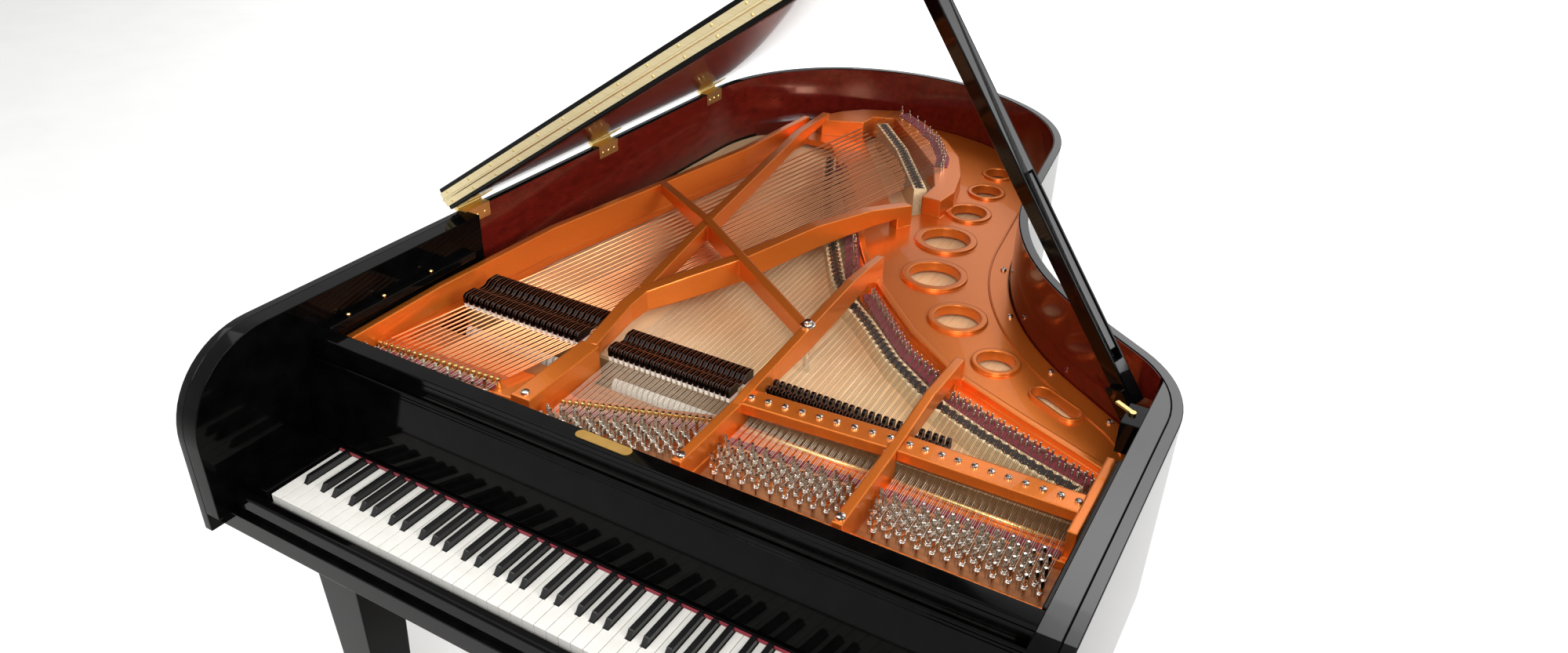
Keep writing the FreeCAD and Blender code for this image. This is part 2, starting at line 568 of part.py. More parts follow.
def cast_plate():
    """The casting: a web with a raised shelf, and rims, struts and walls that stand on it face to face."""
    windows = [bass_window_shares, bass_bridge_window_shares, treble_window_shares, top_window_shares]
    panel = plan_face(dim.rim_wall + dim.plate_gap, 0).common(polygon(spots(plate_shares)))
    panel = panel.cut([polygon(spots(w)) for w in windows + list(pin_window_shares)])
    sunk = dim.block_top
    edge_inset = dim.rim_wall + dim.plate_gap
    flange = plan_face(edge_inset, dim.flange_front).cut(plan_face(edge_inset + dim.flange_width, 0))
    flange = flange.common(polygon(spots(plate_shares)))
    ring_top = dim.web_top + dim.port_ring_height
    web = [raised(panel, sunk, dim.web_top), raised(flange, dim.board_top, sunk), slot(sunk, ring_top)]
    web += [disc(share, sunk, ring_top) for share in port_shares]
    bores = [disc(share, sunk - dim.cut_overrun, dim.shelf_top, port_bore_share) for share in port_shares]
    bores.append(slot(sunk - dim.cut_overrun, dim.shelf_top, port_bore_share))
    shelf = polygon(spots(shelf_shares)).cut(polygon(spots(bass_bridge_window_shares)))
    bass = strut(ridge(bass_foot_shares), dim.bass_strut_foot, sunk)
    for shares in (bass_neck_shares, bass_strut_shares):
        bass += strut(ridge(shares), dim.bass_strut_width, dim.strut_low)
    bass += strut(ridge(bass_rear_shares), dim.bass_strut_width, sunk)
    casting = [web, [raised(shelf, sunk, dim.shelf_top)], bass]
    for foot_shares, strut_shares, rear_shares in (
            (tenor_foot_shares, tenor_strut_shares, tenor_rear_shares),
            (treble_foot_shares, treble_strut_shares, treble_rear_shares)):
        arch = strut(ridge(strut_shares), dim.strut_width, dim.strut_low)
        for shares in (foot_shares, rear_shares):
            arch += strut(ridge(shares), dim.strut_width, sunk)
        casting.append(arch)
    casting += [strut(ridge(shares), dim.rib_wall, sunk)
                for shares in (bass_wall_shares, treble_wall_shares)]
    casting += [strut(ridge(shares), dim.cross_width, dim.cross_low)
                for shares in (diagonal_shares, cross_shares)]
    rim_top = dim.web_top + dim.hitch_rim_height
    casting += [strut([spot(share) + (rim_top,) for share in line], dim.hitch_rim_width, sunk)
                for line in hitch_rim_shares]
    solids = []
    for parts in casting:
        piece = fused(parts).cut(bores + solids).removeSplitter()
        solids += piece.Solids
    return solids


add_shape("plate", cast_plate())

# Capo bars, bearing rods, agraffes, tuning pins, strings, felts and screws
capo_shares = (((0.081, 0.203), (0.448, 0.213)), ((0.468, 0.213), (0.872, 0.215)))
rod_shares = (((0.090, 0.199), (0.437, 0.203)), ((0.472, 0.203), (0.866, 0.203)))
capo_low = dim.string_height + dim.string_radius + dim.frame_gap


def capo(line):
    """A bearing bar over the strings with a narrow lower edge."""
    middle = dim.capo_depth / 2
    section = [(0, dim.capo_top), (0, dim.capo_lip), (middle - dim.capo_edge / 2, capo_low),
               (middle + dim.capo_edge / 2, capo_low), (dim.capo_depth, dim.capo_lip),
               (dim.capo_depth, dim.capo_top)]
    return swept_section(*spots(line), section)


add_shape("capo_bars", [capo(line) for line in capo_shares])

string_low = dim.string_height - dim.string_radius


class Section:
    """One group of neighbouring notes: where its strings bear, hitch and wind on."""

    def __init__(self, front_shares, hitch_shares, unisons, lead, row_step, rise, radius, step, agraffes):
        self.front = spots(front_shares)
        self.hitch = spots(hitch_shares)
        self.unisons = unisons
        self.lead = lead
        self.row_step = row_step
        self.rise = rise
        self.radius = radius
        self.step = step
        self.agraffes = agraffes

    def note_share(self, note):
        """How far along the section a note lies."""
        return note / (len(self.unisons) - 1)

    def runs(self):
        """Pin, bearing and hitch points of every string; plain strings run straight in plan."""
        for note, count in enumerate(self.unisons):
            share = self.note_share(note)
            front = along_line(self.front, share)
            hitch = along_line(self.hitch, share)
            for number in range(count):
                aside = (number - (count - 1) / 2) * self.step
                row = 2 * number + note % 2
                back = self.lead + row * self.row_step
                bearing = V(front[0] + aside, front[1], dim.string_height)
                end = V(hitch[0] + aside, hitch[1] - row * self.step, dim.string_height + self.rise)
                slant = 0 if self.rise else (end.x - bearing.x) / (end.y - bearing.y)
                pin = bearing - V(slant * back, back, 0)
                yield (pin, bearing, end) if self.rise else (pin, end)

    def string_at(self, note, y):
        """The middle of a note's strings where they pass a line across the piano."""
        share = self.note_share(note)
        front, hitch = along_line(self.front, share), along_line(self.hitch, share)
        part = (y - front[1]) / (hitch[1] - front[1])
        return V(front[0] + (hitch[0] - front[0]) * part, y, dim.string_height + self.rise * part)


SINGLES, PAIRS, TENOR_NOTES, TREBLE_NOTES, TOP_NOTES = 8, 13, 23, 20, 24
bass = Section(((-0.889, 0.131), (-0.515, 0.142)),
               ((-0.468, 0.956), (-0.339, 0.920), (-0.217, 0.875), (-0.129, 0.823), (-0.095, 0.783)),
               [1] * SINGLES + [2] * PAIRS, dim.bass_pin_lead, dim.pin_row_step, dim.bass_rise,
               dim.bass_string_radius, dim.bass_unison_step, True)
tenor = Section(((-0.320, 0.146), (0.019, 0.191)),
                ((-0.448, 0.783), (-0.271, 0.684), (-0.071, 0.543), (-0.016, 0.500)),
                [3] * TENOR_NOTES, dim.tenor_pin_lead, dim.tenor_row_step, 0, dim.string_radius,
                dim.unison_step, True)
treble = Section(((0.098, 0.210), (0.423, 0.216)),
                 ((0.068, 0.482), (0.163, 0.444), (0.285, 0.396), (0.415, 0.363)),
                 [3] * TREBLE_NOTES, dim.treble_pin_lead, dim.pin_row_step, 0, dim.string_radius,
                 dim.unison_step, False)
top = Section(((0.481, 0.219), (0.858, 0.221)), ((0.466, 0.344), (0.637, 0.320), (0.855, 0.290)),
              [3] * TOP_NOTES, dim.top_pin_lead, dim.pin_row_step, 0, dim.string_radius,
              dim.unison_step, False)
SECTIONS = (bass, tenor, treble, top)


def string(points, radius):
    """A string with flat sides that follows its bearing points."""
    along = (points[-1] - points[0]).normalize()
    right = V(along.y, -along.x, 0).normalize() * radius
    corners = [V(0, 0, 1) * radius, right - V(0, 0, 1) * radius, -right - V(0, 0, 1) * radius]
    rings = [[p + c for c in corners] for p in points]
    faces = [rings[0][::-1], rings[-1]]
    for near, far in zip(rings, rings[1:]):
        for k in range(3):
            faces.append([near[k], near[(k + 1) % 3], far[(k + 1) % 3], far[k]])
    return solid_from(faces)


add_shape("bass_strings", [string(run, bass.radius) for run in bass.runs()])
add_shape("plain_strings", [string(run, s.radius) for s in SECTIONS[1:] for run in s.runs()])

PIN_SIDES = 3


def post(place, radius, sides, low, high):
    """An upright post with a few flat sides."""
    x, y = place
    turns = [2 * math.pi * (side + 0.5) / sides for side in range(sides)]
    return slab([(x + radius * math.cos(turn), y + radius * math.sin(turn)) for turn in turns], low, high)


pin_low = dim.block_top - dim.pin_bite
add_shape("tuning_pins", [post((run[0].x, run[0].y), dim.pin_radius, PIN_SIDES, pin_low, dim.pin_top)
                          for group in SECTIONS for run in group.runs()])

bearings = [Part.makeCylinder(dim.rod_radius, math.dist(*spots(line)),
                              V(*spot(line[0]), dim.web_top + dim.rod_radius),
                              V(*spot(line[1]), 0) - V(*spot(line[0]), 0)) for line in rod_shares]
for group in (bass, tenor):
    for note in range(len(group.unisons)):
        x, y = along_line(group.front, group.note_share(note))
        bearings.append(block(x - dim.agraffe_width / 2, x + dim.agraffe_width / 2,
                              y - dim.agraffe_depth / 2,
                              y + dim.agraffe_depth / 2, dim.web_top, dim.web_top + dim.agraffe_height))
add_shape("string_bearings", bearings)

felt_shares = (((-0.889, 0.1244), (-0.515, 0.1352)), ((-0.315, 0.1395), (0.019, 0.1846)),
               ((0.090, 0.180), (0.437, 0.186)), ((0.475, 0.187), (0.866, 0.189)))
felt_half = dim.felt_width / 2
felt_section = [(-felt_half, dim.web_top), (felt_half, dim.web_top), (felt_half,
                                                                      dim.web_top + dim.felt_height),
                (-felt_half, dim.web_top + dim.felt_height)]
add_shape("string_felts", [swept_section(*spots(line), felt_section) for line in felt_shares])

screw_shares = ((-0.372, 0.100), (0.068, 0.103), (0.460, 0.103), (0.872, 0.100))
edge_screw_shares = (0.172, 0.210, 0.256, 0.302, 0.347)
SCREW_SIDES = 8
screw_top = dim.web_top + dim.screw_height
screws = [post(place, dim.screw_radius, SCREW_SIDES, dim.web_top, screw_top)
          for place in spots(screw_shares)]
edge_inset = dim.rim_wall + dim.plate_gap + 2 * dim.edge_screw_radius
screws += [post(along_rim(edge_inset, share), dim.edge_screw_radius, SCREW_SIDES, dim.web_top, screw_top)
           for share in edge_screw_shares]
add_shape("plate_screws", screws)

# The keyboard: natural and sharp keys on their frame, hammers and dampers, one of each for a note
OCTAVE_NATURALS, FIRST_C, OCTAVES = 7, 2, 7
sharp_octave_shares = (0.1286, 0.300, 0.551, 0.7143, 0.8776)
octave_width = OCTAVE_NATURALS * dim.natural_pitch
keyboard_left = -key_span
sharp_middles = []
for octave in range(-1, OCTAVES):
    c_edge = keyboard_left + FIRST_C * dim.natural_pitch + octave * octave_width
    middles = [c_edge + share * octave_width for share in sharp_octave_shares]
    sharp_middles += [middle for middle in middles if middle > keyboard_left + dim.natural_pitch / 2]


def natural_key(index):
    """A natural key: a wide head and a tail between its neighbouring sharps."""
    left = keyboard_left + index * dim.natural_pitch
    right = left + dim.natural_pitch
    head = (left + dim.key_gap / 2, right - dim.key_gap / 2)
    room = dim.sharp_width / 2 + dim.sharp_clear
    half_pitch = dim.natural_pitch / 2
    tail_left = max([head[0]] + [m + room for m in sharp_middles if abs(m - left) < half_pitch])
    tail_right = min([head[1]] + [m - room for m in sharp_middles if abs(m - right) < half_pitch])
    front, step, back = -dim.natural_reach, -dim.sharp_clear, dim.key_back
    corners = [(head[0], front), (head[1], front)]
    if tail_right < head[1]:
        corners += [(head[1], step), (tail_right, step)]
    corners += [(tail_right, back), (tail_left, back)]
    if tail_left > head[0]:
        corners += [(tail_left, step), (head[0], step)]
    return slab(corners, -dim.key_thickness, 0)


def sharp_key(middle):
    """A sharp key: a raised cap with a sloping front and a lower tail."""
    profile = [(0, -dim.key_thickness), (dim.key_back, -dim.key_thickness), (dim.key_back, 0),
               (dim.sharp_back, 0), (dim.sharp_back, dim.sharp_rise), (dim.sharp_slope, dim.sharp_rise),
               (0, 0)]
    return across(profile, middle - dim.sharp_width / 2, middle + dim.sharp_width / 2)


add_shape("natural_keys_a", [natural_key(index) for index in range(0, NATURALS, 2)])
add_shape("natural_keys_b", [natural_key(index) for index in range(1, NATURALS, 2)])
add_shape("sharp_keys", [sharp_key(middle) for middle in sharp_middles])

frame_low = keybed_top + dim.frame_gap
rail_top = -dim.key_thickness - dim.frame_gap
frame_span = key_span + dim.frame_reach
front_rail = block(-key_span, key_span, -dim.natural_reach + dim.slip_gap, -dim.slip_gap, frame_low,
                   -dim.front_rail_drop)
balance_low = dim.balance_place - dim.balance_width / 2
balance_rail = block(-frame_span, frame_span, balance_low, balance_low + dim.balance_width, frame_low,
                     rail_top)
back_front = dim.key_back - dim.frame_margin - dim.key_rail_width
back_rail = block(-frame_span, frame_span, back_front, dim.key_back - dim.frame_margin, frame_low, rail_top)
stiles = [block(x, x + dim.frame_margin, -dim.natural_reach + dim.slip_gap, dim.key_back - dim.frame_margin,
                frame_low, -dim.front_rail_drop) for x in (-key_span, key_span - dim.frame_margin)]
add_shape("key_frame", fused([front_rail, balance_rail, back_rail] + stiles))

rail_half = dim.hammer_rail_width / 2
shank_low = dim.hammer_pivot_height - dim.shank_height / 2
shank_high = dim.hammer_pivot_height + dim.shank_height / 2
hammer_rail_top = shank_low - dim.frame_gap
hammer_rail = [block(-frame_span, frame_span, dim.hammer_pivot - rail_half, dim.hammer_pivot + rail_half,
                     hammer_rail_top - dim.hammer_rail_height, hammer_rail_top)]
hammer_rail += [block(x, x + dim.frame_margin, dim.hammer_pivot - rail_half, dim.hammer_pivot + rail_half,
                      rail_top, hammer_rail_top) for x in (-frame_span, frame_span - dim.frame_margin)]
add_shape("hammer_rail", fused(hammer_rail))

SHARP_NOTES = (1, 4, 6, 9, 11)
NOTES_IN_OCTAVE = 12
DAMPED_NOTES = 69


def note_sets():
    """Every note with its section, its place in it and its set: a, b or sharp."""
    number, naturals = 0, 0
    for group in SECTIONS:
        for place_in_group in range(len(group.unisons)):
            sharp = number % NOTES_IN_OCTAVE in SHARP_NOTES
            yield number, group, place_in_group, "sharp" if sharp else "ab"[naturals % 2]
            number += 1
            naturals += 0 if sharp else 1


def hammer(group, note):
    """A shank with a felt head that stands under its strings."""
    x = group.string_at(note, dim.strike_place).x
    near, far = dim.strike_place - dim.hammer_depth / 2, dim.strike_place + dim.hammer_depth / 2
    profile = [(dim.hammer_pivot, shank_low), (far, shank_low), (dim.strike_place, dim.hammer_top),
               (near, shank_high), (dim.hammer_pivot, shank_high)]
    return across(profile, x - dim.hammer_width / 2, x + dim.hammer_width / 2)


def damper(group, note):
    """A damper head with two humps, lying along its strings."""
    if group in (bass, tenor):
        near = dim.damper_front
        far = near + (dim.bass_damper_length if group is bass else dim.tenor_damper_length)
    else:
        near = dim.treble_damper_front
        far = near + dim.treble_damper_length
    middle = (near + far) / 2
    lift = group.radius + dim.damper_lift_gap
    low, mid, high = (group.string_at(note, y).z + lift for y in (near, middle, far))
    profile = [(near, low), (far, high), (far, high + dim.damper_height),
               (middle, mid + dim.damper_height - dim.damper_dip), (near, low + dim.damper_height)]
    x = group.string_at(note, middle).x
    return across(profile, x - dim.damper_width / 2, x + dim.damper_width / 2)


hammer_sets = {"a": [], "b": [], "sharp": []}
damper_sets = {"a": [], "b": [], "sharp": []}
for number, group, note, key_set in note_sets():
    hammer_sets[key_set].append(hammer(group, note))
    if number < DAMPED_NOTES:
        damper_sets[key_set].append(damper(group, note))
for key_set in hammer_sets:
    add_shape("hammers_" + key_set, hammer_sets[key_set])
    add_shape("dampers_" + key_set, damper_sets[key_set])
add_shape("damper_tray", block(-key_span, key_span, dim.tray_front, dim.tray_front + dim.tray_depth,
                               frame_low,
                               frame_low + dim.tray_height))

# The fallboard, leaning back against the stretcher
fall_lean = math.radians(dim.fall_lean)


def on_fallboard(up, back):
    """A side-view place from its distance up the fallboard and back from its front face."""
    return (dim.fall_foot_place + up * math.sin(fall_lean) + back * math.cos(fall_lean),
            dim.fall_foot_height + up * math.cos(fall_lean) - back * math.sin(fall_lean))


fall_corners = [on_fallboard(up, back) for up, back in (
    (0, 0), (dim.fall_length, 0), (dim.fall_length, dim.fall_thickness), (0, dim.fall_thickness))]
add_shape("fallboard", across(fall_corners, -arm_inner + dim.fall_side_gap, arm_inner - dim.fall_side_gap))

# The lid, drawn closed and then turned up about its hinges, with its front flap folded back on it
HINGE_AXIS = V(0, -1, 0)
lid_low = dim.rim_top + dim.lid_gap
lid_top = lid_low + dim.lid_thickness
flap_low = lid_top + dim.flap_stack_gap
lid_right = half_case + dim.lid_overhang


def raised_lid(shapes):
    """Turns shapes drawn for the closed lid up to the open lid's angle."""
    return [shape.rotated(V(lid_hinge_x, 0, lid_hinge_z), HINGE_AXIS, dim.lid_angle) for shape in shapes]


spine_side = polygon([(-half_case, 0), (lid_right, 0), (lid_right, tail_reach), (-half_case, tail_reach)])
lid_plan = plan_face(-dim.lid_overhang, dim.lid_front).common(spine_side)
add_shape("lid", raised_lid([raised(lid_plan, lid_low, lid_top)]))
add_shape("lid_flap", raised_lid([block(-half_case, lid_right, dim.lid_front, dim.lid_front + dim.flap_reach,
                                        flap_low, flap_low + dim.lid_thickness)]))

hinge_place_shares = (0.305, 0.528, 0.762)
flap_axis_y = dim.lid_front - dim.flap_gap / 2
flap_axis_z = lid_top + dim.flap_stack_gap / 2
case_leaves, lid_leaves = [], []
leaf_low = dim.rim_top - dim.hinge_leaf
for share in hinge_place_shares:
    y0 = share * plan_length - dim.hinge_length / 2
    y1 = y0 + dim.hinge_length
    barrel = Part.makeCylinder(dim.hinge_radius, dim.hinge_length, V(lid_hinge_x, y0, lid_hinge_z), V(0,
                                                                                                      1, 0))
    plate_leaf = block(-half_case - dim.leaf_thickness, -half_case, y0, y1, leaf_low, dim.rim_top)
    case_leaves.append(fused([barrel, plate_leaf]))
    lid_leaves.append(block(-half_case - dim.leaf_thickness, -half_case, y0, y1,
                            lid_hinge_z + dim.hinge_radius + dim.knuckle_clear, lid_top))
add_shape("case_hinge_leaves", case_leaves)
long_leaf = block(-half_case, lid_right, dim.lid_front - dim.leaf_thickness, dim.lid_front,
                  lid_low + dim.leaf_edge, lid_top + dim.knuckle_clear)
long_barrel = Part.makeCylinder(dim.knuckle_radius, lid_right + half_case, V(-half_case, flap_axis_y,
                                                                             flap_axis_z),
                                V(1, 0, 0))
add_shape("lid_hinge_leaves", raised_lid(lid_leaves + [fused([long_leaf, long_barrel])]))
flap_leaf_top = flap_low + dim.lid_thickness - dim.leaf_edge
add_shape("flap_hinge_leaf", raised_lid([block(-half_case, lid_right, dim.lid_front - dim.leaf_thickness,
                                               dim.lid_front, flap_low, flap_leaf_top)]))

# The prop that holds the lid up, square to it, with a short stick nested in its slot
prop_up = V(-math.sin(lid_lean), 0, math.cos(lid_lean))
prop_foot = V(arm_inner - dim.prop_foot_inset, dim.prop_foot_y, dim.prop_foot_z)
prop_length = dim.lid_gap / 2 - (prop_foot - V(lid_hinge_x, dim.prop_foot_y, lid_hinge_z)).dot(prop_up)
PROP_FOLD_TURN = 150.0
fold_way = V(math.cos(math.radians(PROP_FOLD_TURN)), math.sin(math.radians(PROP_FOLD_TURN)), 0)
prop_pin = prop_up.cross(fold_way).normalize()
prop_side = prop_pin.cross(prop_up)
prop_turn = FreeCAD.Placement(FreeCAD.Matrix(
    prop_side.x, prop_pin.x, prop_up.x, prop_foot.x, prop_side.y, prop_pin.y, prop_up.y, prop_foot.y,
    prop_side.z, prop_pin.z, prop_up.z, prop_foot.z, 0, 0, 0, 1))


def on_prop(shape):
    """Stands a shape drawn along the prop, with its pivot at the origin, at the prop's place."""
    return shape.transformGeometry(prop_turn.Matrix)


stick_half = dim.half_stick_width / 2
slot_half = stick_half + dim.half_stick_clear
slot_floor = dim.prop_width / 2 - dim.half_stick_depth - dim.half_stick_clear
stick_end = dim.half_stick_start + dim.half_stick_length
prop_slot = block(-dim.prop_width, -slot_floor, -slot_half, slot_half,
                  dim.half_stick_start - dim.half_stick_depth,
                  stick_end + dim.half_stick_clear)
prop_bar = block(-dim.prop_width / 2, dim.prop_width / 2, -dim.prop_depth / 2, dim.prop_depth / 2,
                 -dim.prop_heel,
                 prop_length - dim.prop_gap)
add_shape("prop_stick", on_prop(prop_bar.cut(prop_slot)))
add_shape("half_stick", on_prop(block(-dim.prop_width / 2, -slot_floor - dim.half_stick_clear, -stick_half,
                                      stick_half, dim.half_stick_start, stick_end)))
cheek_near = dim.prop_depth / 2 + dim.half_stick_clear
cheek_far = cheek_near + dim.bracket_wall
cheeks = [block(-dim.bracket_half, dim.bracket_half, y0, y1, -dim.bracket_drop - dim.bracket_base,
                dim.bracket_rise)
          for y0, y1 in ((-cheek_far, -cheek_near), (cheek_near, cheek_far))]
bracket_foot = block(-dim.bracket_half, dim.bracket_half, -cheek_far, cheek_far,
                     -dim.bracket_drop - dim.bracket_base, -dim.bracket_drop)
inside_case = raised(plan_face(dim.rim_wall, 0), rim_bottom, dim.rim_top)
bracket = on_prop(fused(cheeks + [bracket_foot])).common(inside_case).cut(right_arm)
catch_base = block(arm_inner - dim.catch_base_width, arm_inner, dim.catch_base_front,
                   dim.catch_base_front + dim.catch_base_depth, dim.catch_base_low, dim.catch_base_top)
add_shape("prop_bracket", [max(bracket.Solids, key=lambda solid: solid.Volume), catch_base])

catch_pivot = V(arm_inner - dim.catch_base_width + dim.catch_width,
                dim.catch_base_front + dim.catch_base_depth / 2,
                dim.catch_base_top + dim.frame_gap)
catch_boss = post((catch_pivot.x, catch_pivot.y), dim.catch_width / 2, SCREW_SIDES, catch_pivot.z,
                  catch_pivot.z + dim.catch_thickness)
catch_arm = block(-dim.catch_width / 3, dim.catch_width / 3, 0, dim.catch_length, 0, dim.catch_thickness)
catch_arm.Placement = FreeCAD.Placement(catch_pivot, FreeCAD.Rotation(UP, dim.catch_turn))
add_shape("prop_catch", fused([catch_boss, catch_arm]))

rail_low = dim.desk_rail_top - dim.desk_rail_height
desk_rails = [block(x, x + dim.desk_rail_width, dim.desk_rail_front, dim.desk_rail_back, rail_low,
                    dim.desk_rail_top)
              for x in (-arm_inner, arm_inner - dim.desk_rail_width)]
add_shape("desk_rails", desk_rails)

# Legs on casters
caster_top = floor_level + dim.caster_height
front_leg_x = half_case - dim.front_leg_inset
leg_places = ((-front_leg_x, dim.front_leg_y, keybed_low), (front_leg_x, dim.front_leg_y, keybed_low),
              (rear_leg_x, dim.rear_leg_y, brace_low))


def square(x, y, side, z):
    """The corners of a level square."""
    half = side / 2
    return [V(x - half, y - half, z), V(x + half, y - half, z), V(x + half, y + half, z), V(x - half,
                                                                                            y + half, z)]


def leg(x, y, high):
    """A tapering square leg under its top plate."""
    neck = high - dim.leg_plate_thickness
    foot, head = square(x, y, dim.leg_foot, caster_top), square(x, y, dim.leg_top, neck)
    sides = [[foot[k], foot[(k + 1) % 4], head[(k + 1) % 4], head[k]] for k in range(4)]
    half = dim.leg_plate / 2
    return fused([solid_from([foot[::-1], head] + sides), block(x - half, x + half, y - half, y + half,
                                                                neck, high)])


add_shape("legs", [leg(*place_of_leg) for place_of_leg in leg_places])

CASTER_NAMES = ("bass", "treble", "tail")
CASTER_TURNS = (35.0, -50.0, 100.0)
axle_height = floor_level + dim.wheel_radius
fork_half = dim.wheel_width / 2 + dim.fork_gap
fork_out = fork_half + dim.fork_wall
fork_top = caster_top - dim.frame_gap
for name, turn, (x, y, high) in zip(CASTER_NAMES, CASTER_TURNS, leg_places):
    cheek_front = dim.caster_trail - dim.fork_depth / 2
    walls = [block(x0, x1, cheek_front, cheek_front + dim.fork_depth, axle_height - dim.fork_cap, fork_top)
             for x0, x1 in ((-fork_out, -fork_half), (fork_half, fork_out))]
    cap = block(-fork_out, fork_out, -dim.stem_radius, cheek_front + dim.fork_depth,
                fork_top - dim.fork_cap, fork_top)
    wheel = Part.makeCylinder(dim.wheel_radius, dim.wheel_width,
                              V(-dim.wheel_width / 2, dim.caster_trail, axle_height), V(1, 0, 0))
    stand = FreeCAD.Placement(V(x, y, 0), FreeCAD.Rotation(UP, turn))
    for label, shape in (("caster_" + name, fused(walls + [cap])), ("wheel_" + name, wheel)):
        shape.Placement = stand
        add_shape(label, shape)

# The lyre with its pedals, their rods and the braces behind it
box_low = floor_level + dim.pedal_box_low
box_high = box_low + dim.pedal_box_height
pivot_height = box_low + dim.pedal_box_height / 2
lyre_front = dim.lyre_place - dim.lyre_depth / 2
lyre_back = dim.lyre_place + dim.lyre_depth / 2
lyre_half = dim.lyre_width / 2
head_low = keybed_low - dim.lyre_head_height
pillar_half = dim.lyre_pillar / 2
lyre_pieces = [block(-lyre_half, lyre_half, lyre_front, lyre_back, head_low, keybed_low),
               block(-lyre_half, lyre_half, lyre_front, lyre_back, box_low, box_high)]
for x in (-dim.lyre_pillar_step / 2, dim.lyre_pillar_step / 2):
    lyre_pieces.append(block(x - pillar_half, x + pillar_half, dim.lyre_place - pillar_half,
                             dim.lyre_place + pillar_half, box_high, head_low))
slot_wide = dim.pedal_tail_width / 2 + dim.half_stick_clear
slot_tall = dim.pedal_thickness / 2 + dim.pedal_clear
pedal_slots = [block(x - slot_wide, x + slot_wide, lyre_front - dim.cut_overrun, lyre_back + dim.cut_overrun,
                     pivot_height - slot_tall, pivot_height + slot_tall) for x in rod_x]
add_shape("lyre", fused(lyre_pieces).cut(pedal_slots))

brace_half = dim.brace_side / 2
brace_rods = [across([(lyre_back, pivot_height - brace_half), (lyre_back, pivot_height + brace_half),
                      (dim.brace_back - brace_half, keybed_low), (dim.brace_back + brace_half, keybed_low)],
                     x - brace_half, x + brace_half) for x in (-dim.brace_spread, dim.brace_spread)]
add_shape("lyre_braces", brace_rods)

PEDAL_NAMES = ("left", "middle", "right")
taper_share = 0.6
pedal_tip = dim.lyre_place - dim.pedal_reach
pedal_end = dim.pedal_rod_place + dim.pedal_back
for name, x in zip(PEDAL_NAMES, rod_x):
    wide, slim = dim.pedal_width / 2, dim.pedal_tail_width / 2
    neck = lyre_front - dim.pedal_clear
    taper = pedal_tip + (neck - pedal_tip) * taper_share
    corners = [(x - wide, pedal_tip), (x + wide, pedal_tip), (x + wide, taper),
               (x + slim, neck), (x + slim, pedal_end), (x - slim, pedal_end), (x - slim, neck),
               (x - wide, taper)]
    pedal = slab(corners, pivot_height - dim.pedal_thickness / 2, pivot_height + dim.pedal_thickness / 2)
    add_shape("pedal_" + name, pedal)
    rod_low = pivot_height + dim.pedal_thickness / 2 + dim.frame_gap
    add_shape("pedal_rod_" + name, post((x, dim.pedal_rod_place), dim.pedal_rod_radius, SCREW_SIDES, rod_low,
                                        keybed_top + dim.pedal_rod_top))

doc.recompute()
for label, obj in parts.items():
    if "Invalid" in obj.State or "Error" in obj.State or obj.Shape.isNull() or not obj.Shape.isValid():
        raise RuntimeError(label + " did not build")
os.makedirs("parts", exist_ok=True)
for label, obj in parts.items():
    obj.Shape.exportStep("parts/" + label + ".step")
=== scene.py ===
"""A grand piano with its lid up, dressed over its CAD frame and lit as in a pale studio."""

import logging
import math
from dataclasses import dataclass, field
from enum import Enum
from typing import Iterable, Sequence

import bmesh
import bpy
from bmesh.types import BMesh, BMVert
from bpy.types import Material, Mesh, Node, NodeSocket, NodeTree, Object
from mathutils import Matrix, Vector


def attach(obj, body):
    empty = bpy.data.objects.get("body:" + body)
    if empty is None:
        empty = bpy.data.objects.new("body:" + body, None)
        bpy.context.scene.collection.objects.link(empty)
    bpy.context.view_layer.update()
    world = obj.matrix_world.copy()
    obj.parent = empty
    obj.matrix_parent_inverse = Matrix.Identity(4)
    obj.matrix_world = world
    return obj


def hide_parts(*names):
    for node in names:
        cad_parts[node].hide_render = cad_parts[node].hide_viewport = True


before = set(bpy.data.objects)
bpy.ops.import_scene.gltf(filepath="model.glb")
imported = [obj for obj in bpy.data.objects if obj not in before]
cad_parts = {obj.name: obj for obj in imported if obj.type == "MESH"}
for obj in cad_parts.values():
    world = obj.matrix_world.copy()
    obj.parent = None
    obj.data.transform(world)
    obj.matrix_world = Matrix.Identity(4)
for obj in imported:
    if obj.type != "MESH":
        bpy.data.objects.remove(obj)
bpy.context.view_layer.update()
LOG = logging.getLogger("piano")

Pair = tuple[float, float]
Triple = tuple[float, float, float]
Path = Sequence[Vector]
Profile = Sequence[Pair]

# Sizes are in millimetres in the drawing frame of the instrument: x = 0 is the middle of the
# keyboard, y = 0 the front of the sharps and z = 0 the tops of the natural keys. SHIFT takes it to
# the row frame, in which meshes are written in metres.
SHIFT = Vector((14.56139, -948.8, 735.0))
MM = 0.001
UP, RIGHT, FORWARD = Vector((0, 0, 1)), Vector((1, 0, 0)), Vector((0, -1, 0))
HALF_CASE = 737.4
RIM_TOP = 268.0
LID_AXIS = Vector((-742.4, 0.0, 270.0))
LID_SPIN = Matrix.Rotation(math.radians(34.4), 3, FORWARD)
LID_DOWN = LID_SPIN @ -UP

# The lid's three hinges: case and lid each carry one leaf with a row of screws.
STRAP_PLACES = (608.0, 1052.6, 1519.0)
STRAP_HALF = 35.0
STRAP_EDGE = 1.0
STRAP_SCREW_SHARES = (-0.6, 0.0, 0.6)
STRAP_SCREW = ((4.2, 0.0), (3.2, 1.0), (0.0, 1.3))

# Corners nearer than this are one corner, and a turned tip is no thinner than this, in metres.
SAME_CORNER = 1e-6
TIP = 1e-5
# A line steeper than this share of its length takes another axis to measure its sides from.
STEEP = 0.9
# A face looks a way if the cosine between the two is over this.
FACING = 0.99
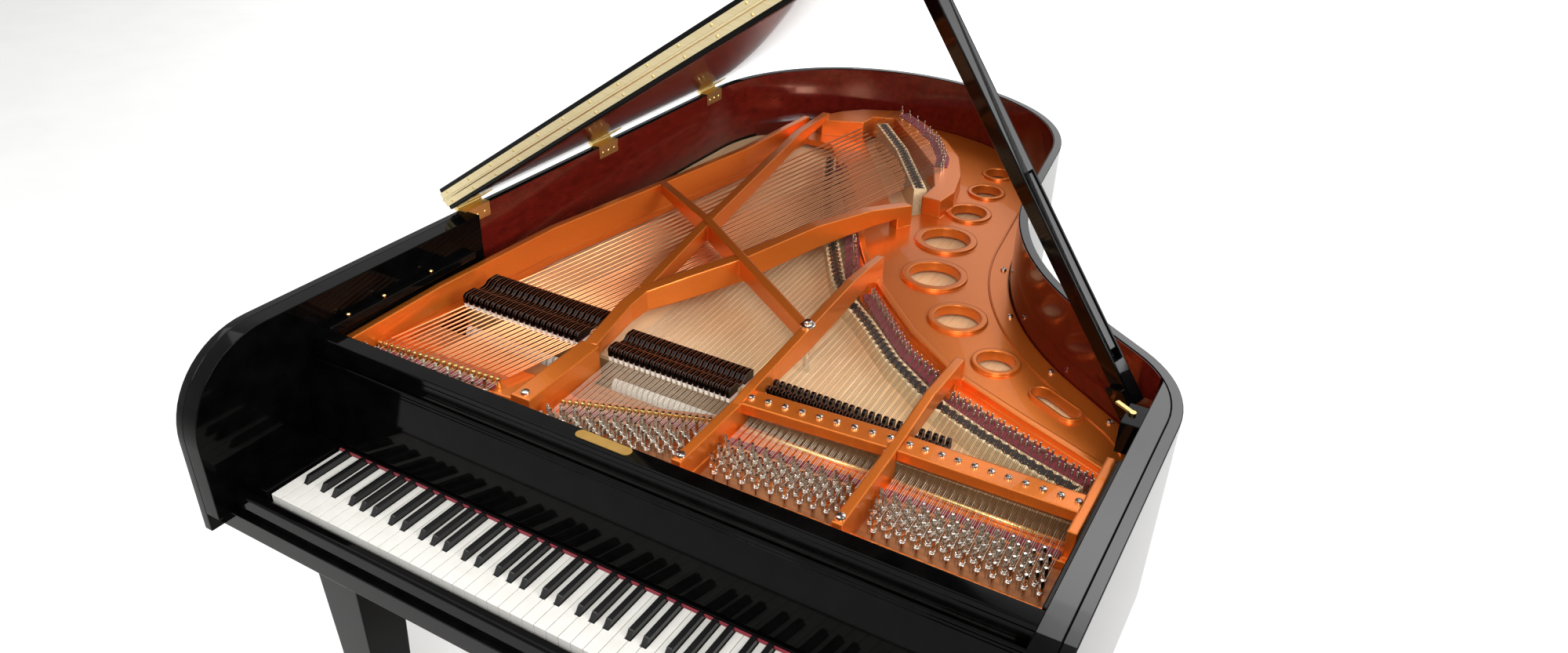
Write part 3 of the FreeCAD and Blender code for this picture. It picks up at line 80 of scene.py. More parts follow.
# Angles in degrees: flat faces are joined under FLAT, edges over ROUND_FROM are rounded, and edges
# over the others stay sharp in the shading.
FLAT, SHEET_FLAT = 1.0, 0.1
ROUND_FROM = 25.0
ROUND_SEGMENTS = 2
SHARP_ROUNDED, SHARP_TURNED, SHARP_SCREW = 50.0, 40.0, 35.0


def at(x: float, y: float, z: float) -> Vector:
    """A place in metres in the row frame, from millimetres in the drawing frame."""
    return (Vector((x, y, z)) + SHIFT) * MM


def depth(y: float) -> float:
    """A y of the drawing frame, in metres in the row frame."""
    return at(0, y, 0).y


def level(z: float) -> float:
    """A z of the drawing frame, in metres in the row frame."""
    return at(0, 0, z).z


def on_lid(x: float, y: float, z: float) -> Vector:
    """A place on the raised lid, from its place on the closed lid."""
    return at(*(LID_SPIN @ (Vector((x, y, z)) - LID_AXIS) + LID_AXIS))


def linear(code: str) -> tuple[float, float, float, float]:
    """An sRGB hex colour as linear RGBA."""
    channels = [int(code[k:k + 2], 16) / 255 for k in (1, 3, 5)]
    return (*[c / 12.92 if c <= 0.04045 else ((c + 0.055) / 1.055) ** 2.4 for c in channels], 1.0)


def add_node(tree: NodeTree, kind: str, settings: dict | None = None,
             **links: NodeSocket) -> Node:
    """Adds a shader or geometry node.

    Args:
        tree: the node tree.
        kind: the node's type name.
        settings: attributes of the node, or values of its input sockets by name.
        links: output sockets to link, by input name with underscores for spaces.

    Returns:
        The new node.
    """
    node = tree.nodes.new(kind)
    for name, value in (settings or {}).items():
        if hasattr(node, name) and name not in node.inputs:
            setattr(node, name, value)
        else:
            node.inputs[name].default_value = value
    for name, socket in links.items():
        tree.links.new(socket, node.inputs[name.replace("_", " ")])
    return node


class Grain(Enum):
    """How a finish varies over its surface."""

    SPECKLE = "speckle"
    STREAK = "streak"
    WINDING = "winding"


# Settings that all finishes share. A wave texture has 10 / pi bands to the unit at a scale of 1.
RAMP_ENDS = (0.32, 0.68)
NOISE_DETAIL = {Grain.SPECKLE: 2.0, Grain.STREAK: 6.0}
NOISE_ROUGHNESS = 0.6
WAVE_SCALE = math.pi / 10
COAT_ROUGHNESS = 0.03
SHEEN_ROUGHNESS = 0.6
EDGE_SAMPLES = 6
RELIEF_MM = 0.4


@dataclass(frozen=True)
class Finish:
    """One real material with its surface.

    slot names the record's slot for the pieces that take it, if any do; the palette keeps it but
    gives it to no piece. Its pattern runs from shade to colour, grain_mm is the size of a patch or
    the step between rings on the object, and stretch is how often the pattern repeats along each
    axis, against 1.
    """

    name: str
    slot: str
    colour: str
    shade: str
    roughness: float
    metallic: float = 0.0
    coat: float = 0.0
    grain: Grain = Grain.SPECKLE
    grain_mm: float = 6.0
    stretch: Triple = (1.0, 1.0, 1.0)
    relief: float = 0.0
    edge_mm: float = 0.0
    sheen: float = 0.0
    specular: float = 0.5

    def pattern(self, tree: NodeTree) -> NodeSocket:
        """The finish's pattern, from 0 to 1, in the object's own coordinates."""
        place = add_node(tree, "ShaderNodeTexCoord").outputs["Object"]
        scaled = add_node(tree, "ShaderNodeMapping", {"Scale": self.stretch}, Vector=place)
        repeats = 1.0 / (self.grain_mm * MM)
        if self.grain is Grain.WINDING:
            kind = "ShaderNodeTexWave"
            settings = {"bands_direction": "Y", "Scale": repeats * WAVE_SCALE}
        else:
            kind = "ShaderNodeTexNoise"
            settings = {"Scale": repeats, "Detail": NOISE_DETAIL[self.grain],
                        "Roughness": NOISE_ROUGHNESS}
        return add_node(tree, kind, settings, Vector=scaled.outputs["Vector"]).outputs["Fac"]

    def build(self) -> Material:
        """The material as a tree of procedural nodes."""
        material = bpy.data.materials.new(self.name)
        material.use_nodes = True
        tree = material.node_tree
        tree.nodes.clear()
        pattern = self.pattern(tree)
        ramp = add_node(tree, "ShaderNodeValToRGB", Fac=pattern)
        for end, place, code in zip(ramp.color_ramp.elements, RAMP_ENDS, (self.shade, self.colour)):
            end.position = place
            end.color = linear(code)
        surface = add_node(tree, "ShaderNodeBsdfPrincipled", {
            "Roughness": self.roughness, "Metallic": self.metallic, "Coat Weight": self.coat,
            "Coat Roughness": COAT_ROUGHNESS, "Sheen Weight": self.sheen,
            "Sheen Roughness": SHEEN_ROUGHNESS, "Specular IOR Level": self.specular,
        }, Base_Color=ramp.outputs["Color"])
        normal = None
        if self.edge_mm:
            edge = add_node(tree, "ShaderNodeBevel",
                            {"samples": EDGE_SAMPLES, "Radius": self.edge_mm * MM})
            normal = edge.outputs["Normal"]
            tree.links.new(normal, surface.inputs["Coat Normal"])
        if self.relief:
            bump = add_node(tree, "ShaderNodeBump",
                            {"Strength": self.relief, "Distance": RELIEF_MM * MM}, Height=pattern)
            if normal:
                tree.links.new(normal, bump.inputs["Normal"])
            normal = bump.outputs["Normal"]
        if normal:
            tree.links.new(normal, surface.inputs["Normal"])
        add_node(tree, "ShaderNodeOutputMaterial", Surface=surface.outputs["BSDF"])
        return material


class Palette:
    """Every finish of the piano, built once, and the pieces that take them."""

    FINISHES = (
        # Polyester lacquer over black stain, rubbed to a mirror: deep black with sharp
        # reflections. They are set weaker than real lacquer's, as the photograph shows them.
        Finish("black_polish", "black_polish", "#060606", "#030303", 0.07, grain_mm=40,
               edge_mm=1.6, specular=0.12),
        # A shaded copy of the same lacquer for the front pieces: darker and set to mirror less
        # still, almost plain black, as painted shade.
        Finish("shaded_polish", "black_polish", "#050505", "#020202", 0.06, grain_mm=40,
               edge_mm=1.6, specular=0.07),
        # A painted sheen: a sheet of the same lacquer over the level tops of rim and arms, lighter
        # and set to mirror more, so that all but their bass end shows a soft grey band.
        Finish("rubbed_polish", "black_polish", "#0A0A0A", "#070707", 0.2, coat=0.4, grain_mm=40,
               specular=0.7),
        # Mahogany veneer under clear lacquer: dark red brown with a faint mottled figure.
        Finish("mahogany_veneer", "mahogany", "#58130C", "#420C08", 0.16, coat=0.35,
               grain=Grain.STREAK, grain_mm=16, stretch=(1.0, 0.4, 1.0)),
        # Bronze lacquer sprayed over cast iron: warm orange metal with soft lights on rounded
        # edges. Its grit is drawn coarser than real, so that it shows.
        Finish("bronze_lacquer", "bronze_lacquer", "#E07C2C", "#D26C20", 0.32, metallic=0.75,
               coat=0.3, grain_mm=1.4, relief=0.06, edge_mm=5.0),
        # Laminated maple of the pin block: dull brown, streaked along the rows of pins.
        Finish("pin_block_maple", "", "#A5683A", "#84502C", 0.5, grain=Grain.STREAK, grain_mm=9,
               stretch=(0.2, 1.0, 1.0)),
        # Spruce under thin varnish: pale straw with fine lines from front to tail. The year
        # rings are drawn coarser than the real 1 to 2 mm, so that they show.
        Finish("soundboard_spruce", "", "#F4D2A6", "#E2BA88", 0.42, grain=Grain.STREAK,
               grain_mm=5, stretch=(1.0, 0.06, 1.0)),
        # Bare maple of bridges, key shafts and hammer shanks: pale cream with a straight figure.
        Finish("maple", "maple", "#D9C39C", "#C4A97E", 0.5, grain=Grain.STREAK, grain_mm=7,
               stretch=(1.0, 0.2, 1.0)),
        # Bare beech of the frame inside: dull light brown.
        Finish("plain_beech", "", "#A98358", "#8E6A43", 0.6, grain=Grain.STREAK, grain_mm=10,
               stretch=(0.2, 1.0, 1.0)),
        # Nickel plate on pins and screws: pale metal with small bright glints.
        Finish("nickel_plate", "nickel", "#E6E2DA", "#CFCBC2", 0.18, metallic=1.0, grain_mm=3),
        # Drawn steel wire: thin grey lines with a dull shine. Their warm tint is a painted
        # reflection of the bronze plate under the strings.
        Finish("steel_wire", "steel_wire", "#B4AA9A", "#8C8272", 0.34, metallic=1.0, grain_mm=2),
        # Copper of the wound bass strings and the bridge pins: rosy metal with rings across it.
        # The rings, 2 mm apart, are drawn coarser than real, so that they show.
        Finish("copper_winding", "copper_wire", "#F8B88A", "#D88850", 0.36, metallic=1.0,
               grain=Grain.WINDING, grain_mm=1.97292),
        # Drawn brass of rods and hinges: yellow metal with a broad dull shine.
        Finish("drawn_brass", "brass", "#F2D68E", "#E4C67C", 0.36, metallic=1.0, grain_mm=4),
        # Brass of the long hinge, brushed along its length: pale and even.
        Finish("brushed_brass", "brass", "#EFE0B6", "#E3D0A0", 0.4, metallic=1.0,
               grain=Grain.STREAK, grain_mm=4, stretch=(0.05, 1.0, 1.0)),
        # Satin brass of the bare plate: a darker, even gold.
        Finish("satin_brass", "brass", "#CFA760", "#C39B54", 0.45, metallic=1.0, grain_mm=30),
        # Polished brass of pedals, casters and agraffes: bright gold with clear reflections.
        Finish("polished_brass", "brass", "#E9CC8A", "#E2C27C", 0.2, metallic=1.0, grain_mm=5,
               edge_mm=0.6),
        # Dyed wool felt: matt wine red. The fibre of both felts is drawn coarser than real wool.
        Finish("bordeaux_felt", "bordeaux_felt", "#861428", "#5E0C1A", 0.95, grain_mm=0.8,
               relief=0.7, sheen=0.08),
        # Bleached wool felt: matt cream with a soft edge.
        Finish("white_felt", "white_felt", "#EFE9DC", "#D8CFBD", 0.95, grain_mm=0.8, relief=0.7,
               sheen=0.4),
        # Cast plastic of the key tops: glossy white. It is darker than real, because the lamps
        # would overexpose it and hide the gaps between the keys.
        Finish("natural_key_plastic", "ivory_plastic", "#CBC9C3", "#C5C3BC", 0.16, coat=0.3,
               grain_mm=30),
        # Black plastic of the sharps: satin, with a soft light along each edge.
        Finish("sharp_key_satin", "black_satin", "#0A0A0B", "#060607", 0.26, grain_mm=2),
        # Brown strips along the upper edges of the damper heads' sides: fine brown lines between
        # the black heads.
        Finish("stained_walnut", "plain_wood", "#6A3820", "#4E2816", 0.35, grain=Grain.STREAK,
               grain_mm=3, stretch=(1.0, 0.3, 1.0)),
        # Graphite rubbed into the bridges' tops: dull black. The same black is painted shade for
        # the shadow in each screw's slot.
        Finish("graphite_black", "black_satin", "#15110F", "#0B0908", 0.6, grain_mm=2),
        # Seamless paper of the studio floor: matt and nearly white.
        Finish("studio_paper", "", "#E8E8E7", "#E5E5E4", 0.9, grain_mm=300),
    )

    def __init__(self) -> None:
        """Builds the materials."""
        self._made = {finish.name: finish.build() for finish in self.FINISHES}
        self._slots = {finish.name: finish.slot for finish in self.FINISHES}

    def __getitem__(self, name: str) -> Material:
        """The material of that name."""
        return self._made[name]

    def piece(self, name: str, shape: "Build | Mesh", finish: str, body: str = "case",
              replaced: Iterable[str] = ()) -> None:
        """Puts a finished shape into the scene as a piece of the piano.

        Args:
            name: the piece's name.
            shape: its mesh in the row frame, or what builds it.
            finish: the name of its finish.
            body: the CAD body that it moves with.
            replaced: CAD nodes that it stands for.
        """
        mesh = shape.mesh(name) if isinstance(shape, Build) else shape
        obj = bpy.data.objects.new(name, mesh)
        bpy.context.scene.collection.objects.link(obj)
        mesh.materials.clear()
        mesh.materials.append(self[finish])
        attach(obj, body)
        for node in replaced:
            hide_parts(node)
        LOG.info("%s rides on %s", name, body)

    def repeats(self, name: str, template: Mesh, points: Path, finish: str,
                replaced: Iterable[str] = ()) -> None:
        """Puts a piece of the case into the scene that repeats a template at points."""
        self.piece(name, scattered(name, template, points, self[finish]), finish, "case", replaced)


@dataclass
class Build:
    """Collects simple closed shapes into one mesh, and says how it is shaded.

    In a smooth mesh, edges over sharp_deg stay sharp, if that isn't zero.
    """

    smooth: bool = False
    sharp_deg: float = 0.0
    verts: list[Vector] = field(default_factory=list)
    faces: list[tuple[int, ...]] = field(default_factory=list)

    def add(self, verts: Path, faces: Sequence[Sequence[int]]) -> None:
        """Adds one shape."""
        base = len(self.verts)
        self.verts += [Vector(v) for v in verts]
        self.faces += [tuple(base + k for k in face) for face in faces]

    def rings(self, rings: Sequence[Path]) -> None:
        """Adds a skin over rings of equal length, with end caps."""
        count, last = len(rings[0]), len(rings) - 1
        faces = []
        for r in range(last):
            here, after = r * count, (r + 1) * count
            for k in range(count):
                n = (k + 1) % count
                faces.append((here + k, here + n, after + n, after + k))
        faces.append(tuple(range(count))[::-1])
        faces.append(tuple(last * count + k for k in range(count)))
        self.add([v for ring in rings for v in ring], faces)

    def tube(self, path: Path, radius_mm: float, sides: int = 8) -> None:
        """Adds a round tube along a path."""
        rings = []
        for k, point in enumerate(path):
            way = (path[min(k + 1, len(path) - 1)] - path[max(k - 1, 0)]).normalized()
            side = way.cross(UP if abs(way.z) < STEEP else RIGHT).normalized()
            rings.append(circle(point, side, side.cross(way), radius_mm * MM, sides))
        self.rings(rings)

    def lathe(self, foot: Vector, profile: Profile, sides: int, axis: Vector = UP) -> None:
        """Adds a turned shape whose profile is (radius, height) pairs in millimetres."""
        side = axis.cross(-FORWARD if abs(axis.y) < STEEP else RIGHT).normalized()
        other = axis.cross(side)
        self.rings([circle(foot + axis * (h * MM), side, other, max(r * MM, TIP), sides)
                    for r, h in profile])

    def box(self, low: Vector, high: Vector) -> None:
        """Adds a block between two corners."""
        spots = ((low.x, low.y), (high.x, low.y), (high.x, high.y), (low.x, high.y))
        self.rings([[Vector((x, y, z)) for x, y in spots] for z in (low.z, high.z)])

    def prism(self, ring: Path, rise: Vector) -> None:
        """Adds a ring of points run along a vector."""
        self.rings([list(ring), [p + rise for p in ring]])

    def wall(self, near: Path, far: Path, low: float, high: float) -> None:
        """Adds a wall between two lines, from one height in metres to another."""
        self.rings([[Vector((a.x, a.y, low)), Vector((b.x, b.y, low)), Vector((b.x, b.y, high)),
                     Vector((a.x, a.y, high))] for a, b in zip(near, far)])

    def mesh(self, name: str) -> Mesh:
        """The collected mesh under a name, with its normals turned outwards."""
        mesh = bpy.data.meshes.new(name)
        mesh.from_pydata([tuple(v) for v in self.verts], [], self.faces)
        work = bmesh.new()
        work.from_mesh(mesh)
        bmesh.ops.recalc_face_normals(work, faces=work.faces)
        work.to_mesh(mesh)
        work.free()
        if self.smooth:
            mesh.polygons.foreach_set("use_smooth", [True] * len(mesh.polygons))
        if self.sharp_deg:
            mesh.set_sharp_from_angle(angle=math.radians(self.sharp_deg))
        return mesh


def circle(centre: Vector, side: Vector, other: Vector, radius: float, sides: int) -> list[Vector]:
    """Points round a centre, in the plane of two square directions."""
    turns = [2 * math.pi * s / sides for s in range(sides)]
    return [centre + (side * math.cos(t) + other * math.sin(t)) * radius for t in turns]


def turned(name: str, profile: Profile, sides: int, top: Profile = ()) -> Mesh:
    """A turned template about the origin; top adds a part with four flat sides."""
    made = Build(True, SHARP_TURNED)
    made.lathe(Vector(), profile, sides)
    if top:
        made.lathe(Vector(), top, sides=4)
    return made.mesh(name)


def solid(node: str) -> BMesh:
    """A copy of a CAD node's mesh to work on, with the corners of its faces joined."""
    work = bmesh.new()
    work.from_mesh(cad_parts[node].data)
    bmesh.ops.remove_doubles(work, verts=work.verts, dist=SAME_CORNER)
    return work


def written(work: BMesh, name: str) -> Mesh:
    """A worked copy as a named mesh; the copy is freed."""
    mesh = bpy.data.meshes.new(name)
    work.to_mesh(mesh)
    work.free()
    return mesh


def taken(holder: Object, keep_layers: bool = False) -> Mesh:
    """The plain mesh that an object's modifiers make; the object is removed."""
    bpy.context.view_layer.update()
    graph = bpy.context.evaluated_depsgraph_get()
    result = bpy.data.meshes.new_from_object(
        holder.evaluated_get(graph), preserve_all_data_layers=keep_layers, depsgraph=graph)
    bpy.data.objects.remove(holder)
    return result


def islands(node: str) -> list[list[Vector]]:
    """The corner points of each separate solid of a CAD node, in the row frame.

    The solids come in the order of the mesh's corners, so that every run numbers them alike.
    """
    work = solid(node)
    seen = set()
    found = []
    for start in work.verts:
        if start in seen:
            continue
        seen.add(start)
        group, todo = [], [start]
        while todo:
            vert = todo.pop()
            group.append(vert.co.copy())
            for edge in vert.link_edges:
                other = edge.other_vert(vert)
                if other not in seen:
                    seen.add(other)
                    todo.append(other)
        found.append(group)
    work.free()
    return found


def middle(points: Path) -> Vector:
    """The mean of some points."""
    return sum(points, Vector()) / len(points)


def shifted(points: Path, offset: float) -> list[Vector]:
    """A level line moved to the right of its own direction, in metres."""
    moved = []
    for k, point in enumerate(points):
        way = (points[min(k + 1, len(points) - 1)] - points[max(k - 1, 0)]).normalized()
        moved.append(point + Vector((way.y, -way.x, 0.0)) * offset)
    return moved


def along(points: Path, step: float) -> list[tuple[Vector, Vector]]:
    """Places at an even step along a line, each with the line's direction there."""
    places = []
    left = step / 2
    for start, end in zip(points, points[1:]):
        length = (end - start).length
        way = (end - start) / length
        while left <= length:
            places.append((start + way * left, way))
            left += step
        left -= length
    return places


def scattered(name: str, template: Mesh, points: Path,
              material: Material) -> Mesh:
    """Repeats a template at points with Geometry Nodes.

    Args:
        name: the result's name.
        template: the mesh to repeat, drawn about the origin.
        points: where it goes, in the row frame.
        material: the finish of every copy.

    Returns:
        One plain mesh.
    """
    source = bpy.data.objects.new(name + "_template", template)
    cloud = bpy.data.meshes.new(name + "_points")
    cloud.from_pydata([tuple(p) for p in points], [], [])
    holder = bpy.data.objects.new(name + "_holder", cloud)
    bpy.context.scene.collection.objects.link(holder)
    tree = bpy.data.node_groups.new(name + "_repeat", "GeometryNodeTree")
    new_socket, geometry = tree.interface.new_socket, "NodeSocketGeometry"
    new_socket("Points", in_out="INPUT", socket_type=geometry)
    slot = new_socket("Template", in_out="INPUT", socket_type="NodeSocketObject")
    new_socket("Result", in_out="OUTPUT", socket_type=geometry)
    start = tree.nodes.new("NodeGroupInput")
    info = add_node(tree, "GeometryNodeObjectInfo", Object=start.outputs["Template"])
    copies = add_node(tree, "GeometryNodeInstanceOnPoints", Points=start.outputs["Points"],
                      Instance=info.outputs["Geometry"])
    real = add_node(tree, "GeometryNodeRealizeInstances", Geometry=copies.outputs["Instances"])
    finish = add_node(tree, "GeometryNodeSetMaterial", {"Material": material},
                      Geometry=real.outputs["Geometry"])
    end = tree.nodes.new("NodeGroupOutput")
    tree.links.new(finish.outputs["Geometry"], end.inputs["Result"])
    modifier = holder.modifiers.new("repeat", "NODES")
    modifier.node_group = tree
    modifier[slot.identifier] = source
    result = taken(holder)
    result.name = name
    bpy.data.objects.remove(source)
    return result


def weighted(mesh: Mesh) -> Mesh:
    """The mesh with normals that follow its large faces, so that a flat face mirrors straight."""
    holder = bpy.data.objects.new(mesh.name, mesh)
    bpy.context.scene.collection.objects.link(holder)
    modifier = holder.modifiers.new("weighted", "WEIGHTED_NORMAL")
    modifier.keep_sharp = True
    modifier.weight = 100
    return taken(holder, keep_layers=True)


def bevelled(node: str, width_mm: float, cut: tuple[float, bool] | None = None) -> Mesh:
    """A copy of a CAD node's mesh with its sharp edges rounded.

    Args:
        node: the CAD node.
        width_mm: how far the rounding reaches from each edge.
        cut: a y at which the copy is cut, and whether its front part is the one kept.

    Returns:
        The new mesh.
    """
    work = solid(node)
    bmesh.ops.dissolve_limit(work, angle_limit=math.radians(FLAT), verts=work.verts,
                             edges=work.edges)
    if cut:
        place, keep_front = cut
        bmesh.ops.bisect_plane(
            work, geom=work.verts[:] + work.edges[:] + work.faces[:], plane_co=at(0, place, 0),
            plane_no=-FORWARD, clear_outer=keep_front, clear_inner=not keep_front)
        bmesh.ops.holes_fill(work, edges=[e for e in work.edges if e.is_boundary])
    sharp = [e for e in work.edges
             if len(e.link_faces) == 2 and e.calc_face_angle() > math.radians(ROUND_FROM)]
    bmesh.ops.bevel(work, geom=sharp, offset=width_mm * MM, offset_type="OFFSET",
                    segments=ROUND_SEGMENTS, profile=0.5, affect="EDGES", clamp_overlap=True)
    mesh = written(work, node + "_rounded")
    mesh.shade_smooth()
    mesh.set_sharp_from_angle(angle=math.radians(SHARP_ROUNDED))
    return weighted(mesh)


def outline(node: str) -> list[Vector]:
    """The level outline of a flat CAD node, from its front treble corner round the tail."""
    work = solid(node)
    links: dict[int, list[int]] = {}
    for edge in work.edges:
        if sum(face.normal.z > FACING for face in edge.link_faces) == 1:
            a, b = (vert.index for vert in edge.verts)
            links.setdefault(a, []).append(b)
            links.setdefault(b, []).append(a)
    work.verts.ensure_lookup_table()
    places = {index: work.verts[index].co.copy() for index in links}
    work.free()
    front = min(p.y for p in places.values())
    start = max((k for k, p in places.items() if p.y < front + MM), key=lambda k: places[k].x)
    line, here = [start], max(links[start], key=lambda k: places[k].y)
    while here != start:
        line.append(here)
        here = next(k for k in links[here] if k != line[-2])
    return [places[k] for k in line]


def skin(name: str, nodes: Sequence[str], facing: Vector, inset_mm: float, thickness_mm: float,
         least: float = -math.inf, from_x: float = -math.inf) -> Mesh:
    """A thin sheet over the faces of CAD nodes that look one way.

    Args:
        name: the mesh's name.
        nodes: the CAD nodes.
        facing: the way that the faces look.
        inset_mm: how far the sheet stays inside their edges.
        thickness_mm: its thickness.
        least: how far out along facing the faces lie at least, in metres.
        from_x: the x at which the sheet begins, in metres.

    Returns:
        The sheet, with one part for each node.
    """
    sheet = bmesh.new()
    for node in nodes:
        work = solid(node)
        others = [f for f in work.faces if f.normal.dot(facing) < FACING
                  or f.calc_center_median().dot(facing) < least]
        bmesh.ops.delete(work, geom=others, context="FACES")
        bmesh.ops.dissolve_limit(work, angle_limit=math.radians(SHEET_FLAT), verts=work.verts,
                                 edges=work.edges)
        if from_x > -math.inf:
            bmesh.ops.bisect_plane(work, geom=work.verts[:] + work.edges[:] + work.faces[:],
                                   plane_co=(from_x, 0, 0), plane_no=RIGHT, clear_inner=True)
        border = bmesh.ops.inset_region(work, faces=work.faces[:], thickness=inset_mm * MM,
                                        use_boundary=True, use_even_offset=True)["faces"]
        bmesh.ops.delete(work, geom=border, context="FACES")
        raised = bmesh.ops.extrude_face_region(work, geom=work.faces[:])["geom"]
        moved = [v for v in raised if isinstance(v, BMVert)]
        bmesh.ops.translate(work, verts=moved, vec=facing * (thickness_mm * MM))
        bmesh.ops.recalc_face_normals(work, faces=work.faces)
        part = written(work, name + "_part")
        sheet.from_mesh(part)
        bpy.data.meshes.remove(part)
    return written(sheet, name)


@dataclass(frozen=True)
class Lamp:
    """A square softbox, in metres, watts and degrees."""

    place: Triple
    aim: Triple
    size: float
    power: float
    spread: float = 180.0


@dataclass
class Studio:
    """Camera, lights and floor, in metres."""

    camera_place: Triple = (0.889319, -1.868510, 1.968781)
    camera_turn: Triple = (1.041012, -0.026630, 0.521903)
    lens_mm: float = 25.239
    sensor_mm: float = 36.0
    sky: float = 0.85
    floor_half: float = 80.0
    # The last lamp lights the floor behind the piano; its spread keeps most of it off the piano.
    lamps: tuple[Lamp, ...] = (
        Lamp((-1.6, -1.0, 4.2), (0.0, 0.0, 0.8), 3.4, 70.0),
        Lamp((3.2, -0.4, 2.6), (-0.7, 0.3, 1.1), 1.8, 28.0, 70.0),
        Lamp((1.6, -3.2, 3.4), (-0.2, 0.2, 0.9), 1.6, 125.0),
        Lamp((0.8, 3.6, 3.6), (0.0, 0.0, 0.8), 2.6, 14.0),
        Lamp((-0.5, 8.0, 5.0), (-0.5, 8.0, 0.0), 9.0, 520.0, 112.0),
    )

    def build(self, palette: Palette) -> None:
        """Sets the stage."""
        scene = bpy.context.scene
        scene.view_settings.view_transform = "Standard"
        camera = bpy.data.cameras.new("camera")
        camera.lens = self.lens_mm
        camera.sensor_width = self.sensor_mm
        holder = bpy.data.objects.new("camera", camera)
        holder.location = self.camera_place
        holder.rotation_euler = self.camera_turn
        scene.collection.objects.link(holder)
        scene.camera = holder
        world = bpy.data.worlds.new("sky")
        world.use_nodes = True
        background = world.node_tree.nodes["Background"]
        background.inputs["Color"].default_value = (1.0, 1.0, 1.0, 1.0)
        background.inputs["Strength"].default_value = self.sky
        scene.world = world
        for number, lamp in enumerate(self.lamps):
            light = bpy.data.lights.new(f"softbox_{number}", "AREA")
            light.size = lamp.size
            light.energy = lamp.power
            light.spread = math.radians(lamp.spread)
            softbox = bpy.data.objects.new(light.name, light)
            softbox.location = lamp.place
            way = Vector(lamp.aim) - Vector(lamp.place)
            softbox.rotation_euler = way.to_track_quat("-Z", "Y").to_euler()
            scene.collection.objects.link(softbox)
        half = self.floor_half
        sheet = Build()
        sheet.add([(-half, -half, 0), (half, -half, 0), (half, half, 0), (-half, half, 0)],
                  [(0, 1, 2, 3)])
        floor = sheet.mesh("floor")
        floor.materials.append(palette["studio_paper"])
        ground = bpy.data.objects.new("floor", floor)
        scene.collection.objects.link(ground)


class CadFinishes:
    """Finishes of the CAD nodes that show as they are."""

    NODES = {
        "black_polish": ("key_rail",),
        "mahogany_veneer": ("inner_rim",),
        "bronze_lacquer": ("plate", "capo_bars"),
        "pin_block_maple": ("pin_block",),
        "soundboard_spruce": ("soundboard", "soundboard_ribs"),
        "maple": ("bridges",),
        "plain_beech": ("belly_rail", "rim_braces", "key_frame", "hammer_rail", "damper_tray"),
        "steel_wire": ("pedal_rod_left", "pedal_rod_middle", "pedal_rod_right"),
        "brushed_brass": ("lid_hinge_leaves", "flap_hinge_leaf"),
        "polished_brass": ("case_hinge_leaves", "prop_catch", "pedal_left", "pedal_middle",
                           "pedal_right", "caster_bass", "caster_treble", "caster_tail",
                           "wheel_bass", "wheel_treble", "wheel_tail"),
        "bordeaux_felt": ("string_felts",),
    }

    def build(self, palette: Palette) -> None:
        """Gives each CAD node its finish."""
        for finish, names in self.NODES.items():
            for name in names:
                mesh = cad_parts[name].data
                mesh.materials.clear()
                mesh.materials.append(palette[finish])


